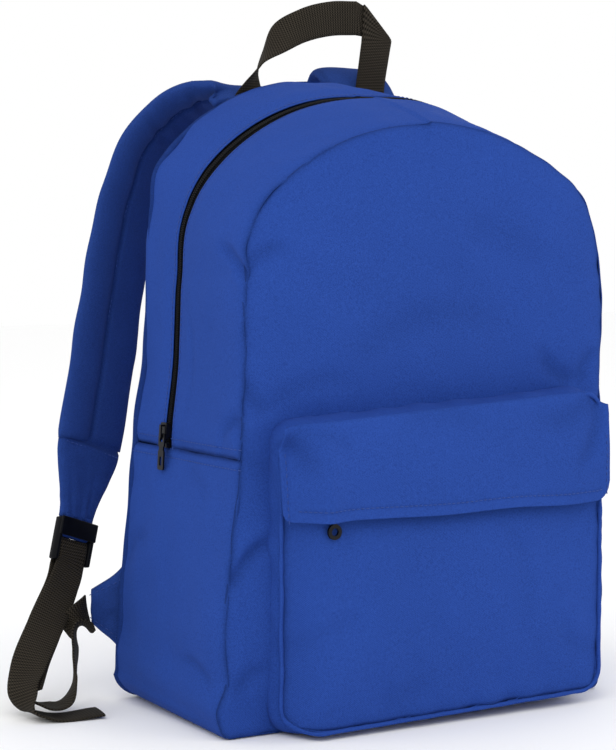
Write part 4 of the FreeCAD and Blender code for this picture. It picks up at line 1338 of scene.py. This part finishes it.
def web_object(name, rows, step=2.0):
    """Flat webbing along ribbon rows."""
    centre, across, normal = ribbon_frames(smooth_rows(rows, step))
    section = rounded_section(WEB_WIDTH, WEB_THICK)
    cup = 0.5 * ripple(131, 60, arc_lengths(centre))[:, None]
    shaped = np.broadcast_to(section, (len(centre),) + section.shape).copy()
    shaped[..., 1] += cup * (1 - (section[None, :, 0] / (WEB_WIDTH / 2)) ** 2)
    return loft_object(name, centre, across, normal, shaped)


BLOCK_SIDES = 32
BLOCK_RINGS = 7


def rounded_block(low, high, corner):
    """Points and quads of a closed box with rounded edges, from its lowest to its highest corner."""
    low, high = np.array(low, float), np.array(high, float)
    middle, half = (low + high) / 2, (high - low) / 2
    angles = np.linspace(0, 2 * math.pi, BLOCK_SIDES + 1)[:-1]
    rings = []
    for step in np.linspace(-math.pi / 2, math.pi / 2, BLOCK_RINGS):
        level = math.copysign(half[2] - corner, step) + corner * math.sin(step) if step else 0.0
        inset = corner * (1 - math.cos(step))
        turn = np.stack([np.cos(angles), np.sin(angles)], axis=1)
        core = np.sign(np.round(turn, 6)) * (half[:2] - corner)
        plan = core + turn * (corner - inset)
        rings.append(np.hstack([plan, np.full((len(plan), 1), level)]))
    points = np.vstack(rings) + middle
    faces = []
    last = (BLOCK_RINGS - 1) * BLOCK_SIDES
    for base in range(0, last, BLOCK_SIDES):
        for k in range(BLOCK_SIDES):
            after = (k + 1) % BLOCK_SIDES
            faces.append([base + k, base + after, base + BLOCK_SIDES + after, base + BLOCK_SIDES + k])
    for base in (0, last):
        for k in range(1, BLOCK_SIDES // 2):
            across = BLOCK_SIDES - k
            faces.append([base + k - 1, base + k, base + across - 1, base + across % BLOCK_SIDES])
    return points, faces


LOCK_BLOCKS = [
    ((-17.0, -13.5, -5.4), (-13.2, 17.0, 2.2), 1.6),
    ((13.2, -13.5, -5.4), (17.0, 17.0, 2.2), 1.6),
    ((-16.0, 9.0, -1.5), (16.0, 12.0, 1.5), 1.0),
    ((-16.0, -1.5, -1.5), (16.0, 1.5, 1.5), 1.0),
    ((-16.0, -13.2, -1.5), (16.0, -9.0, 1.5), 1.0),
    ((-17.0, 4.5, -6.6), (17.0, 17.6, -4.4), 1.0),
]


def build_lock(side, centre, across, up, normal):
    """Moulded ladder-lock: side rails, three bars and a thumb plate over the strap's tab."""
    verts, faces = [], []
    for low, high, corner in LOCK_BLOCKS:
        points, quads = rounded_block(low, high, corner)
        faces += [[index + len(verts) * len(points) for index in quad] for quad in quads]
        verts.append(points)
    local = np.vstack(verts)
    places = centre + local[:, :1] * across + local[:, 1:2] * up + local[:, 2:] * normal
    flat_uv, no_painted_shade = np.zeros((len(faces) * 4, 2)), np.zeros(len(places))
    obj = finish_mesh(f"ladder_lock_body_{side}", places, faces, flat_uv, no_painted_shade)
    place_piece(obj, "buckle_plastic", f"strap_{side}", [f"ladder_lock_{side}"])


def build_hardware(side, end, across, up, normal, down, tail, back_up):
    """Ladder-lock tab, webbing, return ply and wing of one strap."""
    centre = end - up * (LOCK_PITCH + LOCK_BAR + LOCK_DROP)
    top_bar = centre + up * LOCK_PITCH
    reach = np.dot(end - top_bar, up) + 3.0
    bar = top_bar - up * TAB_SLACK
    tab = web_object(f"ladder_tab_{side}", bar_wrap(across, -up, normal, bar, reach + TAB_SLACK), 1.2)
    place_piece(tab, "strap_fabric", f"strap_{side}", [f"ladder_lock_tab_{side}"])
    build_lock(side, centre, across, up, normal)
    wrap = bar_wrap(across, up, normal, centre, LOCK_PITCH + LOCK_BAR)
    sign = 1 if side == "right" else -1
    load = ply(down, sign * PLY_SPLIT)
    loose = ply(down, -sign * PLY_SPLIT)
    rows = load[::-1] + wrap + loose + [tuple(row) for row in tail]
    web = web_object(f"strap_webbing_{side}", rows)
    place_piece(web, "webbing", f"strap_{side}", [f"webbing_{side}"])
    web.parent = None
    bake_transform(web)
    back = web_object(f"webbing_return_ply_{side}", back_up)
    place_piece(back, "webbing", "root", [f"webbing_return_{side}"])


WING_THICKNESS = 3.2


def build_wing(side):
    """Doubled triangle of cloth sewn into the lower back corner, round the end of the webbing."""
    sign = -1 if side == "left" else 1
    root_x, tip_x = sign * 151.0, sign * 172.0
    t = np.linspace(0, 1, 16)
    v = np.linspace(-1, 1, 21)
    half = 31 - 20.5 * t**0.85
    x = root_x + (tip_x - root_x) * t
    z = 61 + 3 * t[:, None] + half[:, None] * v[None]
    x = np.broadcast_to(x[:, None], z.shape)
    y = BACK_Y + 2.2 + (86 - BACK_Y) * t[:, None] ** 1.1 + np.zeros_like(z)
    y = y + 0.7 * ripple(141, 22, x, z)
    points = np.stack([x, y, z], axis=-1)
    normals = grid_normals(points, (0, 0, 60))
    puff = 1.6 * (1 - v[None] ** 4) * np.ones_like(z)
    outer = points + normals * puff[..., None]
    # Painted shade at the wing's root against the bag.
    painted_shade = 0.4 * np.exp(-t / 0.08)[:, None] * np.ones_like(z)
    obj = cloth_object(f"wing_cloth_{side}", outer, normals, WING_THICKNESS, shade=painted_shade)
    place_piece(obj, "strap_fabric", "root", [f"wing_{side}"])
    for label, col in (("low", 2), ("high", -3)):
        stitches(f"wing_stitch_{label}_{side}", outer[:, col], normals[:, col], "strap_fabric")


def build_straps():
    """Both shoulder straps, from the top seam to the wings."""
    sets = (
        ("left", LEFT_STRAP, LEFT_DOWN, LEFT_TAIL, LEFT_RETURN, 1),
        ("right", RIGHT_STRAP, RIGHT_DOWN, RIGHT_TAIL, RIGHT_RETURN, -1),
    )
    for side, stations, down, tail, back_up, facing in sets:
        build_pad(side, stations, facing)
        end = STRAP_ENDS[side]
        across, up, normal = build_strap_end(side, stations, end)
        build_hardware(side, end, across, up, normal, down, tail, back_up)
        build_wing(side)


build_straps()


# ---------------- carried-over hardware

def dress_hardware():
    """Better finish for the sliders, pullers and stops, which keep their CAD shapes."""
    pieces = ("slider", "puller", "stops")
    for name in (f"{line}_zip_{piece}" for line in ("main", "pocket") for piece in pieces):
        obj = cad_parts[name]
        if not obj.material_slots:
            obj.data.materials.append(None)
        for material_slot in obj.material_slots:
            material_slot.material = LOOKS["zip_metal"]


dress_hardware()


# ---------------- floor, light and camera

def build_stage():
    """Pale floor that runs far behind the bag."""
    size = 6.0
    corners = [(-size, -size, 0), (size, -size, 0), (size, size, 0), (-size, size, 0)]
    mesh = bpy.data.meshes.new("floor")
    mesh.from_pydata(corners, [], [(0, 1, 2, 3)])
    floor = bpy.data.objects.new("floor", mesh)
    bpy.context.scene.collection.objects.link(floor)
    made, _, shader = start_material("pale_floor", 0.9, 0.1)
    shader.inputs["Base Color"].default_value = (0.98, 0.98, 0.98, 1)
    mesh.materials.append(made)


def area_light(name, place, target, size, watts):
    """Soft square light aimed at a point."""
    data = bpy.data.lights.new(name, "AREA")
    data.size = size
    data.energy = watts
    obj = bpy.data.objects.new(name, data)
    obj.location = place
    aim = np.array(target) - np.array(place)
    obj.rotation_euler = aimed(aim)
    bpy.context.scene.collection.objects.link(obj)


def aimed(aim):
    """Rotation that points an object's -Z along aim with its Y up."""
    return Vector(tuple(aim)).to_track_quat("-Z", "Y").to_euler()


def build_lights():
    """Even white surroundings with a soft key from the front left and above."""
    world = bpy.data.worlds.new("white_studio")
    bpy.context.scene.world = world
    world.use_nodes = True
    background = world.node_tree.nodes["Background"]
    background.inputs["Color"].default_value = (1, 1, 1, 1)
    background.inputs["Strength"].default_value = 1.0
    area_light("key_light", (-1.4, -1.6, 1.9), (0, 0, 0.2), 1.6, 17)
    area_light("fill_light", (1.8, -1.2, 1.2), (0, 0, 0.2), 1.8, 7)
    bpy.context.scene.view_settings.view_transform = "Standard"


CAMERA_AZIMUTH = math.radians(-31.3)
CAMERA_ELEVATION = math.radians(3.7)
CAMERA_DISTANCE = 1.443
CAMERA_TARGET = (-0.048, 0.0, 0.227)
CAMERA_LENS = 100.4


def build_camera():
    """Camera in front, to the left of the bag and a little above its middle."""
    data = bpy.data.cameras.new("camera")
    data.lens = CAMERA_LENS
    data.sensor_width = 36.0
    data.clip_end = 50.0
    obj = bpy.data.objects.new("camera", data)
    back = np.array([
        math.sin(CAMERA_AZIMUTH) * math.cos(CAMERA_ELEVATION),
        -math.cos(CAMERA_AZIMUTH) * math.cos(CAMERA_ELEVATION),
        math.sin(CAMERA_ELEVATION),
    ])
    obj.location = np.array(CAMERA_TARGET) + back * CAMERA_DISTANCE
    obj.rotation_euler = aimed(-back)
    bpy.context.scene.collection.objects.link(obj)
    bpy.context.scene.camera = obj


build_stage()
build_lights()
build_camera()


# ---------------- last scene update


bpy.context.view_layer.update()
